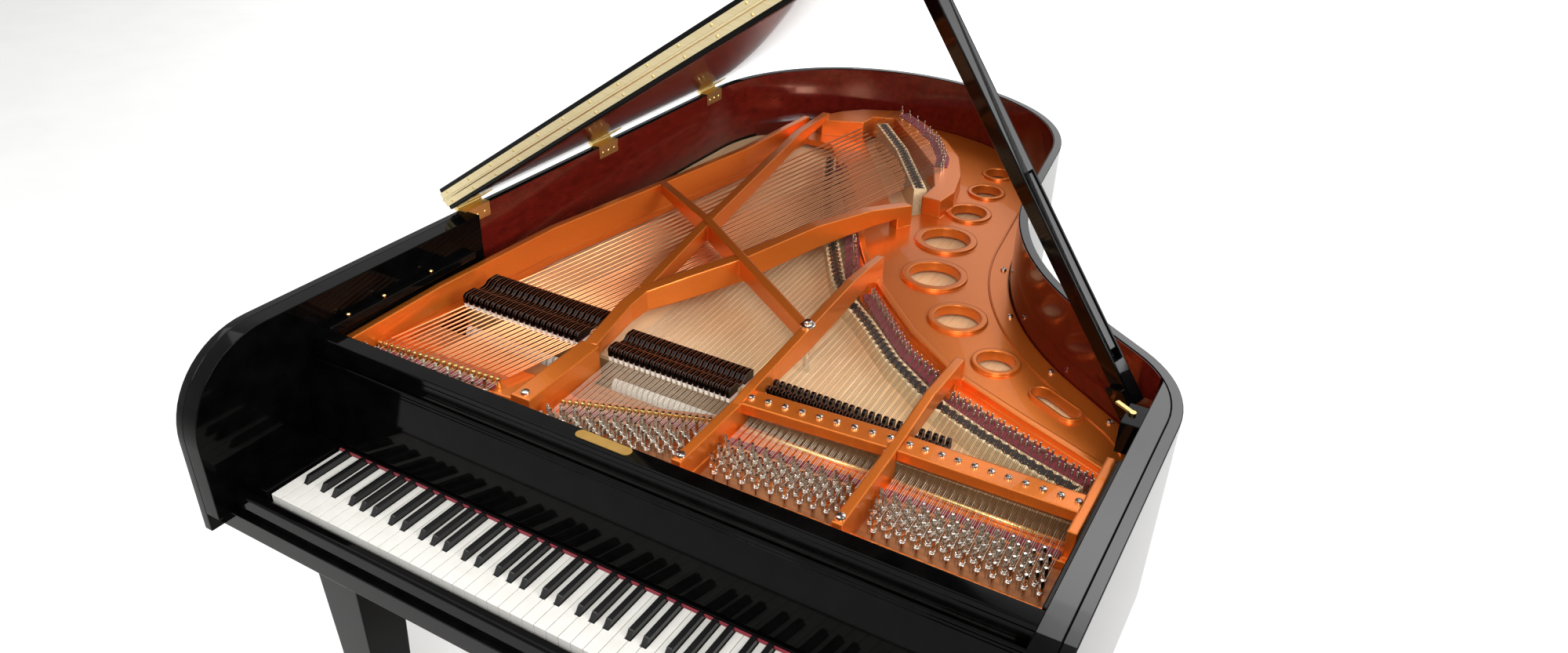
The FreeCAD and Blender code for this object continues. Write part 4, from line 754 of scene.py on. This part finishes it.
@dataclass
class CaseDress:
    """Veneer, brass and felt on the case, and rounded copies of its black pieces."""

    rounding: dict[str, float] = field(default_factory=lambda: {
        "outer_rim": 2.0, "arm_blocks": 1.2, "key_blocks": 1.5, "legs": 3.0, "lyre": 3.0,
        "lyre_braces": 2.0, "desk_rails": 2.0, "prop_bracket": 1.5, "keybed": 1.5,
        "key_slip": 1.0, "stretcher": 2.0})
    # Front pieces that take the shaded copy of the lacquer, painted darker as shade.
    shaded: tuple[str, ...] = ("arm_blocks", "key_blocks", "key_slip", "stretcher")
    # The painted sheen: a thin, lighter sheet that mirrors more over the level tops of these nodes,
    # from top_from towards the treble.
    level_tops: tuple[str, ...] = ("outer_rim", "arm_blocks")
    top_least: float = 267.9
    top_inset_mm: float = 1.6
    top_thickness_mm: float = 0.08
    top_from: float = -500.0
    veneer_low: float = 100.0
    veneer_top: float = 266.4
    veneer_out_mm: float = 1.2
    veneer_thickness_mm: float = 0.6
    veneer_treble_front: float = 700.0
    veneer_bass_front: float = 582.0
    plate_middle: Triple = (-30.0, 148.0, 212.2)
    plate_half: Pair = (53.0, 10.0)
    plate_thickness_mm: float = 1.0
    plate_step_deg: int = 15
    felt_low: Triple = (-610.0, 96.2, 1.0)
    felt_high: Triple = (610.0, 99.6, 4.6)
    knob_places: tuple[float, ...] = (215.0, 300.0, 420.0)
    knob_side: float = -670.4
    knob_foot: float = 206.0
    knob_profile: Profile = ((3.0, 0.0), (2.4, 3.0), (5.0, 5.0), (4.0, 8.0), (0.0, 9.0))
    strap_drop: float = 30.0
    strap_lift: Pair = (0.1, 1.6)
    strap_wall: Pair = (-717.6, -716.2)
    strap_screw_share: float = 0.6
    block_front: float = 1690.0
    block_end: float = -500.0
    block_low: float = 92.3
    block_top: float = 128.0
    bead_half: float = 684.0
    bead_face: float = 130.0
    bead_heights: tuple[float, ...] = (200.0, 178.0)
    bead_mm: float = 0.9

    def veneer(self) -> Build:
        """A thin wall of veneer round the inside of the rim."""
        treble, bass = depth(self.veneer_treble_front), depth(self.veneer_bass_front)
        line = [p for p in outline("soundboard") if p.y > treble or p.x < 0]
        line = [p for p in line if p.y > bass] + [Vector((line[-1].x, bass, line[-1].z))]
        near = shifted(line, (self.veneer_out_mm - self.veneer_thickness_mm) * MM)
        made = Build(True, SHARP_TURNED)
        made.wall(near, shifted(line, self.veneer_out_mm * MM), level(self.veneer_low),
                  level(self.veneer_top))
        return made

    def corner_block(self) -> Build:
        """A low block of wood that fills the rim's corner at the bass side of the tail."""
        front, end = depth(self.block_front), at(self.block_end, 0, 0).x
        line = [p for p in outline("soundboard") if p.x < end and p.y > front]
        low = level(self.block_low)
        made = Build()
        made.prism([Vector((p.x, p.y, low)) for p in line],
                   UP * ((self.block_top - self.block_low) * MM))
        return made

    def name_plate(self) -> Build:
        """A bare oblong plate with round ends on the stretcher."""
        x, y, z = self.plate_middle
        half, radius = self.plate_half
        ring = []
        for side in (1, -1):
            for degrees in range(-90, 91, self.plate_step_deg):
                turn = math.radians(degrees if side == 1 else degrees + 180)
                ring.append(at(x + side * (half - radius) + radius * math.cos(turn),
                               y + radius * math.sin(turn), z))
        made = Build()
        made.prism(ring, UP * (self.plate_thickness_mm * MM))
        return made

    def straps(self) -> Build:
        """Hinge leaves that lap over the rim's top and down its inner wall, with their screws."""
        made = Build()
        under, over = (RIM_TOP + lift for lift in self.strap_lift)
        back, face = self.strap_wall
        for y in STRAP_PLACES:
            low, high = y - STRAP_HALF, y + STRAP_HALF
            made.box(at(-HALF_CASE + STRAP_EDGE, low, under), at(face, high, over))
            made.box(at(back, low, RIM_TOP - self.strap_drop), at(face, high, RIM_TOP))
            z = RIM_TOP - self.strap_screw_share * self.strap_drop
            for share in STRAP_SCREW_SHARES:
                made.lathe(at(face, y + share * STRAP_HALF, z), STRAP_SCREW, sides=12, axis=RIGHT)
        return made

    def build(self, palette: Palette) -> None:
        """Makes the case's pieces."""
        for node, width in self.rounding.items():
            palette.piece(node + "_polished", bevelled(node, width),
                          "shaded_polish" if node in self.shaded else "black_polish", "case",
                          [node])
        # Paints a sheen on the level tops: a thin, lighter sheet of lacquer that mirrors more.
        top = skin("rim_top_lacquer", self.level_tops, UP, self.top_inset_mm,
                   self.top_thickness_mm, level(self.top_least), at(self.top_from, 0, 0).x)
        palette.piece("rim_top_lacquer", top, "rubbed_polish")
        palette.piece("rim_veneer", self.veneer(), "mahogany_veneer")
        palette.piece("corner_block", self.corner_block(), "mahogany_veneer")
        lines, felt, knobs = Build(True), Build(), Build(True)
        for z in self.bead_heights:
            lines.tube([at(-self.bead_half, self.bead_face, z),
                        at(self.bead_half, self.bead_face, z)], self.bead_mm)
        palette.piece("stretcher_bead", lines, "shaded_polish")
        palette.piece("name_plate", self.name_plate(), "satin_brass")
        palette.piece("case_hinge_straps", self.straps(), "drawn_brass")
        felt.box(at(*self.felt_low), at(*self.felt_high))
        palette.piece("key_felt_strip", felt, "bordeaux_felt")
        for y in self.knob_places:
            knobs.lathe(at(self.knob_side, y, self.knob_foot), self.knob_profile, sides=14)
        palette.piece("desk_rail_knobs", knobs, "polished_brass")


@dataclass
class LidDress:
    """Veneer, hinge leaves and rounded copies for lid, flap, prop and fallboard."""

    rounding: dict[str, tuple[str, float]] = field(default_factory=lambda: {
        "lid": ("lid", 3.0), "lid_flap": ("flap", 3.0), "prop_stick": ("prop", 4.0),
        "half_stick": ("half_stick", 2.0), "fallboard": ("fallboard", 2.5)})
    veneer_inset_mm: float = 16.0
    veneer_thickness_mm: float = 0.5
    strap_top: float = 271.4
    strap_thickness_mm: float = 1.4
    strap_reach: float = 44.0
    strap_screw_inset: float = 12.0
    leaf_run: Pair = (-715.0, 700.0)
    leaf_count: int = 19
    leaf_face: float = 552.6
    leaf_head: Profile = ((3.0, -0.3), (2.8, 0.2), (0.0, 0.3))
    leaf_heights: dict[str, float] = field(default_factory=lambda: {"lid": 286.0, "flap": 306.0})
    fall_foot: Pair = (101.0, 15.5)
    fall_lean: float = math.radians(9.3)
    fall_half: float = 683.0
    bead_heights: tuple[float, ...] = (148.0, 142.0)
    bead_mm: float = 0.9

    def straps(self) -> Build:
        """Hinge leaves on the lid's underside, with their screws."""
        made = Build()
        x0, x1 = -HALF_CASE + STRAP_EDGE, -HALF_CASE + self.strap_reach
        face = self.strap_top - self.strap_thickness_mm
        for y in STRAP_PLACES:
            low, high = y - STRAP_HALF, y + STRAP_HALF
            ring = [on_lid(*spot, self.strap_top)
                    for spot in ((x0, low), (x1, low), (x1, high), (x0, high))]
            made.prism(ring, LID_DOWN * (self.strap_thickness_mm * MM))
            for share in STRAP_SCREW_SHARES:
                foot = on_lid(x1 - self.strap_screw_inset, y + share * STRAP_HALF, face)
                made.lathe(foot, STRAP_SCREW, sides=12, axis=LID_DOWN)
        return made

    def leaf_screws(self, height: float) -> Build:
        """Small screws along a leaf of the long hinge, at a height on the closed lid."""
        made = Build(True)
        low, high = self.leaf_run
        for k in range(self.leaf_count):
            x = low + (high - low) * k / (self.leaf_count - 1)
            made.lathe(on_lid(x, self.leaf_face, height), self.leaf_head, sides=12, axis=FORWARD)
        return made

    def bead(self) -> Build:
        """Two fine beads along the top of the fallboard's front."""
        made = Build(True)
        y0, z0 = self.fall_foot
        for up in self.bead_heights:
            y = y0 + up * math.sin(self.fall_lean)
            z = z0 + up * math.cos(self.fall_lean)
            made.tube([at(-self.fall_half, y, z), at(self.fall_half, y, z)], self.bead_mm)
        return made

    def build(self, palette: Palette) -> None:
        """Makes the pieces."""
        for node, (body, width) in self.rounding.items():
            # The fallboard takes the shaded copy of the lacquer, painted darker as shade.
            polish = "shaded_polish" if node == "fallboard" else "black_polish"
            palette.piece(node + "_polished", bevelled(node, width), polish, body, [node])
        veneer = skin("lid_veneer", ["lid"], LID_DOWN, self.veneer_inset_mm,
                      self.veneer_thickness_mm)
        palette.piece("lid_veneer", veneer, "mahogany_veneer", "lid")
        palette.piece("lid_hinge_straps", self.straps(), "drawn_brass", "lid")
        for body, height in self.leaf_heights.items():
            palette.piece(body + "_leaf_screws", self.leaf_screws(height), "drawn_brass", body)
        palette.piece("fallboard_bead", self.bead(), "shaded_polish", "fallboard")


@dataclass
class PlateDress:
    """Screws, bosses and the nose bolt of the cast plate."""

    capo_lines: tuple = (((68.0, 428.6), (322.0, 448.6), 9), ((356.0, 448.6), (636.0, 452.6), 11))
    capo_top: float = 170.0
    capo_screw_mm: float = 6.2
    foot_places: tuple = ((-274.2, 240.0, 165.6), (50.2, 240.0, 160.6), (338.6, 240.0, 160.6))
    foot_screw_mm: float = 8.4
    # A screw head's profile and the half size of its slot are shares of its radius.
    head_profile: Profile = ((1.0, 0.0), (1.0, 2.2), (0.86, 4.2), (0.5, 5.2), (0.0, 5.4))
    slot_half: Pair = (0.8, 0.11)
    slot_foot_mm: float = 4.4
    slot_rise_mm: float = 1.15
    # First turn of the painted slot shadows of rim, pressure bar and strut screws, and the turn to
    # the next.
    rim_turns: Pair = (0.7, 1.1)
    capo_turns: Pair = (0.5, 0.9)
    foot_turns: Pair = (0.9, 0.6)
    bolt_place: Pair = (50.0, 660.0)
    bolt_foot: float = 193.5
    bolt_profile: Profile = ((14.0, 0.0), (14.0, 4.0), (11.0, 5.5), (8.0, 5.5), (8.0, 11.0),
                             (6.0, 12.5), (0.0, 12.7))
    rod_foot: float = 92.0
    rod_profile: Profile = ((5.0, 0.0), (5.0, 54.0))
    web_top: float = 120.0
    boss_places: tuple = ((100, 365), (195, 370), (290, 375), (375, 385), (495, 390), (615, 390))
    boss_profile: Profile = ((9.0, 0.0), (8.6, 2.0), (7.0, 3.4), (4.0, 4.2), (0.0, 4.4))
    bead_front: float = 690.0
    bead_least_x_mm: float = 120.0
    bead_inset_mm: float = 44.0
    bead_mm: float = 2.6
    heads: Build = field(default_factory=lambda: Build(True, SHARP_SCREW))
    slot_shadows: Build = field(default_factory=Build)

    def screw(self, foot: Vector, radius_mm: float, turns: Pair,
              number: int) -> None:
        """Adds a round screw head, and a dark line of painted shade where its slot is.

        Args:
            foot: the middle of the head's underside.
            radius_mm: the head's radius.
            turns: the turn of the row's first slot, and the turn from one to the next.
            number: the screw's number in its row.
        """
        self.heads.lathe(foot, [(radius_mm * r, h) for r, h in self.head_profile], sides=20)
        first, step = turns
        turn, radius = first + step * number, radius_mm * MM
        way = Vector((math.cos(turn), math.sin(turn), 0.0))
        side = Vector((-way.y, way.x, 0.0)) * (radius * self.slot_half[1])
        end = way * (radius * self.slot_half[0])
        low = foot + UP * (self.slot_foot_mm * MM)
        self.slot_shadows.prism([low + end + side, low - end + side, low - end - side, low + end - side],
                         UP * (self.slot_rise_mm * MM))

    def build(self, palette: Palette) -> None:
        """Makes the pieces."""
        for number, island in enumerate(islands("plate_screws")):
            centre = middle(island)
            radius = max((p.xy - centre.xy).length for p in island)
            foot = Vector((centre.x, centre.y, min(p.z for p in island)))
            self.screw(foot, radius / MM, self.rim_turns, number)
        for (x0, y0), (x1, y1), count in self.capo_lines:
            for k in range(count):
                share = k / (count - 1)
                foot = at(x0 + (x1 - x0) * share, y0 + (y1 - y0) * share, self.capo_top)
                self.screw(foot, self.capo_screw_mm, self.capo_turns, k)
        for number, place in enumerate(self.foot_places):
            self.screw(at(*place), self.foot_screw_mm, self.foot_turns, number)
        self.heads.lathe(at(*self.bolt_place, self.bolt_foot), self.bolt_profile, sides=24)
        self.heads.lathe(at(*self.bolt_place, self.rod_foot), self.rod_profile, sides=16)
        palette.piece("plate_screw_heads", self.heads, "nickel_plate", "case", ["plate_screws"])
        # The slot lines are painted shade: dark bars where the slots' shadows lie.
        palette.piece("screw_slots", self.slot_shadows, "graphite_black")
        left, front, top = self.bead_least_x_mm * MM, depth(self.bead_front), level(self.web_top)
        edge = [p for p in outline("soundboard") if p.x > left and p.y > front]
        bead = Build(True)
        bead.tube([Vector((p.x, p.y, top)) for p in shifted(edge, -self.bead_inset_mm * MM)],
                  self.bead_mm)
        palette.piece("flange_bead", bead, "bronze_lacquer")
        palette.repeats("web_bosses", turned("boss", self.boss_profile, sides=18),
                        [at(x, y, self.web_top) for x, y in self.boss_places], "bronze_lacquer")


@dataclass
class StringDress:
    """Wire, pins, agraffes, rods and felts of the stringing."""

    wire_mm: float = 0.5
    core_mm: float = 0.6
    winding_mm: Pair = (2.4, 1.5)
    bass_reach_mm: float = 34.0
    wound_from: float = 0.014
    wound_to: float = 0.90
    string_height: float = 130.0
    pin_body: Profile = (
        (3.5, -26.0), (3.5, -6.2), (4.6, -5.8), (4.6, -5.0), (3.9, -4.4), (4.6, -3.8), (4.6, -3.0),
        (3.9, -2.4), (4.6, -1.8), (4.6, -0.2), (3.5, 0.2), (3.5, 8.5), (2.9, 9.6))
    pin_top: Profile = ((4.4, 8.0), (3.4, 19.0), (2.8, 20.0))
    hitch_high: dict[str, float] = field(default_factory=lambda: {
        "hitch_pins": 11.0, "bass_hitch_pins": 14.0})
    hitch_foot: Profile = ((2.1, -11.0),)
    hitch_tip: Profile = ((2.1, -1.8), (1.7, -0.4), (0.0, 0.0))
    hitch_step_mm: float = 12.0
    plain_breaks: tuple[int, ...] = (0, 69, 129, 201)
    band_near_mm: float = 24.0
    band_far_mm: float = 9.0
    plain_band: Pair = (120.0, 126.5)
    bass_band: Pair = (165.0, 166.4)
    rod_least_mm: float = 50.0
    rod_mm: float = 4.2
    agraffe: Profile = ((4.6, 0.0), (4.6, 3.5), (3.2, 4.0), (3.2, 5.5), (4.8, 6.5), (4.8, 13.5),
                        (3.8, 15.8), (0.0, 16.6))

    def runs(self, node: str) -> list[list[Vector]]:
        """Each string's corner points, from pin to hitch; its solid has three sides."""
        lines = []
        for island in islands(node):
            points = sorted(island, key=lambda p: p.y)
            lines.append([middle(points[k:k + 3]) for k in range(0, len(points), 3)])
        return sorted(lines, key=lambda run: run[0].x)

    def build(self, palette: Palette) -> None:
        """Makes the stringing."""
        plain, bass = self.runs("plain_strings"), self.runs("bass_strings")
        wire, cores, winding = Build(True), Build(True), Build(True)
        for run in plain:
            wire.tube(run, self.wire_mm, sides=6)
        thick, slim = self.winding_mm
        for number, run in enumerate(bass):
            bearing, hitch = run[1], run[2]
            run[2] = hitch + (hitch - bearing).normalized() * self.bass_reach_mm * MM
            cores.tube(run, self.core_mm, sides=6)
            wound = [bearing.lerp(hitch, share) for share in (self.wound_from, self.wound_to)]
            share = number / (len(bass) - 1)
            winding.tube(wound, thick + (slim - thick) * share, sides=10)
        palette.piece("plain_wire", wire, "steel_wire", "case", ["plain_strings"])
        palette.piece("bass_cores", cores, "steel_wire")
        palette.piece("bass_windings", winding, "copper_winding", "case", ["bass_strings"])
        top = level(self.string_height)
        pin = turned("tuning_pin", self.pin_body, sides=12, top=self.pin_top)
        palette.repeats("tuning_pins_coiled", pin,
                        [Vector((run[0].x, run[0].y, top)) for run in plain + bass],
                        "nickel_plate", ["tuning_pins"])
        self.hitches(palette, plain, bass)
        self.bearings(palette)

    def hitches(self, palette: Palette, plain: Sequence[Path], bass: Sequence[Path]) -> None:
        """Hitch pins, and the felt under the strings in front of them."""
        for (name, high), runs in zip(self.hitch_high.items(), (plain, bass)):
            profile = [*self.hitch_foot, *((r, high + h) for r, h in self.hitch_tip)]
            places = []
            for number, run in enumerate(runs):
                back = (run[-2] - run[-1]).normalized() * self.hitch_step_mm * MM
                places.append(run[-1] + back * (number % 2))
            palette.repeats(name, turned(name, profile, sides=10), places, "nickel_plate")
        ordered = sorted((run[-1] for run in plain), key=lambda p: p.x)
        bands = [(ordered[a:b], self.plain_band)
                 for a, b in zip(self.plain_breaks, self.plain_breaks[1:])]
        bands.append(([run[-1] for run in bass], self.bass_band))
        felt = Build()
        for group, (foot, top) in bands:
            line = [middle(group[k:k + 3]) for k in range(0, len(group) - 2, 3)]
            felt.wall(shifted(line, self.band_near_mm * MM), shifted(line, -self.band_far_mm * MM),
                      level(foot), level(top))
        palette.piece("hitch_felts", felt, "bordeaux_felt")

    def bearings(self, palette: Palette) -> None:
        """Agraffes as turned studs, and the round bearing rods."""
        studs, rods = [], Build(True)
        for island in islands("string_bearings"):
            low, high = (Vector([pick(p[k] for p in island) for k in range(3)])
                         for pick in (min, max))
            if high.x - low.x > self.rod_least_mm * MM:
                ends = sorted(island, key=lambda p: p.x)
                half = len(ends) // 2
                rods.tube([middle(ends[:half]), middle(ends[half:])], self.rod_mm, sides=16)
            else:
                studs.append(Vector(((low.x + high.x) / 2, (low.y + high.y) / 2, low.z)))
        palette.repeats("agraffes", turned("agraffe", self.agraffe, sides=14), studs,
                        "polished_brass", ["string_bearings"])
        palette.piece("bearing_rods", rods, "drawn_brass")


@dataclass
class BridgeDress:
    """The graphite tops and pins of the bridges."""

    # The middle line of each bridge, and the height of its top.
    lines: tuple = (
        (((617, 532), (528, 560), (428, 596), (333, 638), (278, 674), (194, 736), (94, 833),
          (17, 899), (-44, 971), (-156, 1150), (-272, 1350), (-390, 1591)), 128.9),
        (((-345, 1818), (-217, 1669), (-62, 1443)), 162.4),
    )
    step_mm: float = 9.0
    half_mm: Pair = (7.5, 12.5)
    sheet_mm: float = 0.35
    pin_inset_mm: float = 2.0
    pin: Profile = ((1.1, 0.0), (1.1, 3.0), (0.0, 3.6))

    def build(self, palette: Palette) -> None:
        """Makes the pieces; the graphite is wide on either side by turns."""
        black, places = Build(), []
        rise = UP * (self.sheet_mm * MM)
        for line, top in self.lines:
            path = [at(x, y, top) for x, y in line]
            rings = []
            for number, (point, way) in enumerate(along(path, self.step_mm * MM)):
                left = Vector((-way.y, way.x, 0.0))
                a, b = self.half_mm[number % 2], self.half_mm[1 - number % 2]
                near, far = point + left * a * MM, point - left * b * MM
                rings.append([near, far, far + rise, near + rise])
                places += [point + left * (a - self.pin_inset_mm) * MM,
                           point - left * (b - self.pin_inset_mm) * MM]
            black.rings(rings)
        palette.piece("bridge_graphite", black, "graphite_black")
        pin = turned("bridge_pin", self.pin, sides=8)
        palette.repeats("bridge_pins", pin, places, "copper_winding")


class NoteSet(Enum):
    """The three sets of notes that move by turns."""

    A = "a"
    B = "b"
    SHARP = "sharp"


def over_damper(island: Path, profile: Profile, sides_mm: Sequence[float]) -> list[list[Vector]]:
    """Rings over one damper, which follows the slope of its strings.

    Args:
        island: the corner points of the damper's solid.
        profile: shares of its length, with heights in millimetres over its foot.
        sides_mm: where the rings stand, from its left side or, below zero, from its right.

    Returns:
        One ring for each side.
    """
    x0, x1 = min(p.x for p in island), max(p.x for p in island)
    y0, y1 = min(p.y for p in island), max(p.y for p in island)
    near = min(p.z for p in island if p.y < y0 + MM)
    far = min(p.z for p in island if p.y > y1 - MM)
    return [[Vector(((x1 if side < 0 else x0) + side * MM, y0 + (y1 - y0) * share,
                     near + (far - near) * share + high * MM)) for share, high in profile]
            for side in sides_mm]


@dataclass
class ActionDress:
    """Keys, hammers and dampers, one mesh of each for a set of notes."""

    # The damper head's outline, as shares of its length with heights over its foot, and which of
    # its points are its upper side.
    head_profile: Profile = (
        (0.0, 10.5), (0.0, 24.0), (0.025, 27.5), (0.07, 29.6), (0.26, 29.6), (0.33, 28.0),
        (0.38, 23.5), (0.44, 21.0), (0.56, 21.0), (0.62, 23.5), (0.67, 28.0), (0.74, 29.6),
        (0.93, 29.6), (0.975, 27.5), (1.0, 24.0), (1.0, 10.5), (0.64, 10.5), (0.62, 15.0),
        (0.38, 15.0), (0.36, 10.5))
    head_upper: tuple[int, int] = (1, 15)
    head_inset_mm: float = 0.9
    cheek_mm: float = 0.5
    cheek_rise_mm: float = 0.2
    cheek_deep_mm: float = 1.4
    felt_runs: Profile = ((0.02, 0.35), (0.65, 0.98))
    felt_inset_mm: float = 1.3
    felt_heights: Triple = (0.1, 8.6, 10.6)
    damper_finishes: dict[str, str] = field(default_factory=lambda: {
        "heads": "black_polish", "cheeks": "stained_walnut", "felts": "white_felt",
        "layers": "bordeaux_felt"})
    hammer_profile: Profile = (
        (448, 44), (446, 56), (444, 65), (446, 74), (450.5, 81.5), (455, 84.6), (459.5, 81.5),
        (464, 74), (466, 65), (464, 56), (462, 44))
    hammer_half_mm: float = 4.4
    shank_y: Pair = (352.0, 456.0)
    shank_z: Pair = (37.0, 43.0)
    shank_half_mm: float = 2.6
    hammer_finishes: dict[str, str] = field(default_factory=lambda: {
        "heads": "white_felt", "shanks": "maple"})
    natural_round_mm: float = 0.7
    sharp_round_mm: float = 1.3
    shaft_round_mm: float = 0.4
    key_cut: float = 106.0

    def dampers(self, node: str) -> dict[str, Build]:
        """Heads with brown strips along their upper side edges, white felts and red layers of one
        set of dampers.
        """
        first, last = self.head_upper
        upper = [(share, high + self.cheek_rise_mm)
                 for share, high in self.head_profile[first:last]]
        cheek = upper + [(share, high - self.cheek_deep_mm) for share, high in reversed(upper)]
        outer, inner = self.head_inset_mm, self.head_inset_mm + self.cheek_mm
        parts = [("heads", self.head_profile, (inner, -inner)),
                 ("cheeks", cheek, (outer, inner)), ("cheeks", cheek, (-inner, -outer))]
        low, step, top = self.felt_heights
        for start, end in self.felt_runs:
            for part, foot, high in (("felts", low, step), ("layers", step, top)):
                block = ((start, foot), (end, foot), (end, high), (start, high))
                parts.append((part, block, (self.felt_inset_mm, -self.felt_inset_mm)))
        made = {part: Build() for part in self.damper_finishes}
        for island in islands(node):
            for part, profile, sides in parts:
                made[part].rings(over_damper(island, profile, sides))
        return made

    def hammers(self, node: str) -> dict[str, Build]:
        """Felt heads and shanks of one set of hammers."""
        made = {part: Build() for part in self.hammer_finishes}
        half, slim = self.hammer_half_mm * MM, self.shank_half_mm * MM
        (y0, y1), (z0, z1) = self.shank_y, self.shank_z
        for island in islands(node):
            x = middle(island).x
            made["heads"].rings([[Vector((x + side, depth(y), level(z)))
                                  for y, z in self.hammer_profile] for side in (-half, half)])
            made["shanks"].box(Vector((x - slim, depth(y0), level(z0))),
                               Vector((x + slim, depth(y1), level(z1))))
        return made

    def keys(self, palette: Palette, notes: NoteSet) -> None:
        """Tops of one set of keys, and the wooden shafts behind them."""
        key = notes.value
        if notes is NoteSet.SHARP:
            name, node = "sharp_key_caps", "sharp_keys"
            finish, width = "sharp_key_satin", self.sharp_round_mm
        else:
            name, node = f"natural_key_tops_{key}", f"natural_keys_{key}"
            finish, width = "natural_key_plastic", self.natural_round_mm
        body = "keys_" + key
        palette.piece(name, bevelled(node, width, (self.key_cut, True)), finish, body, [node])
        shafts = bevelled(node, self.shaft_round_mm, (self.key_cut, False))
        palette.piece("key_shafts_" + key, shafts, "maple", body)

    def build(self, palette: Palette) -> None:
        """Makes the pieces of each set."""
        for notes in NoteSet:
            for kind, make, finishes in (("damper", self.dampers, self.damper_finishes),
                                         ("hammer", self.hammers, self.hammer_finishes)):
                node = f"{kind}s_{notes.value}"
                for part, made in make(node).items():
                    palette.piece(f"{kind}_{part}_{notes.value}", made, finishes[part], node,
                                  [node] if part == "heads" else ())
            self.keys(palette, notes)


def main() -> None:
    """Builds every sub-assembly in order."""
    logging.basicConfig(level=logging.INFO, format="%(name)s: %(message)s")
    palette = Palette()
    for assembly in (Studio(), CadFinishes(), CaseDress(), LidDress(), PlateDress(), StringDress(),
                     BridgeDress(), ActionDress()):
        assembly.build(palette)


if __name__ == "__main__":
    main()
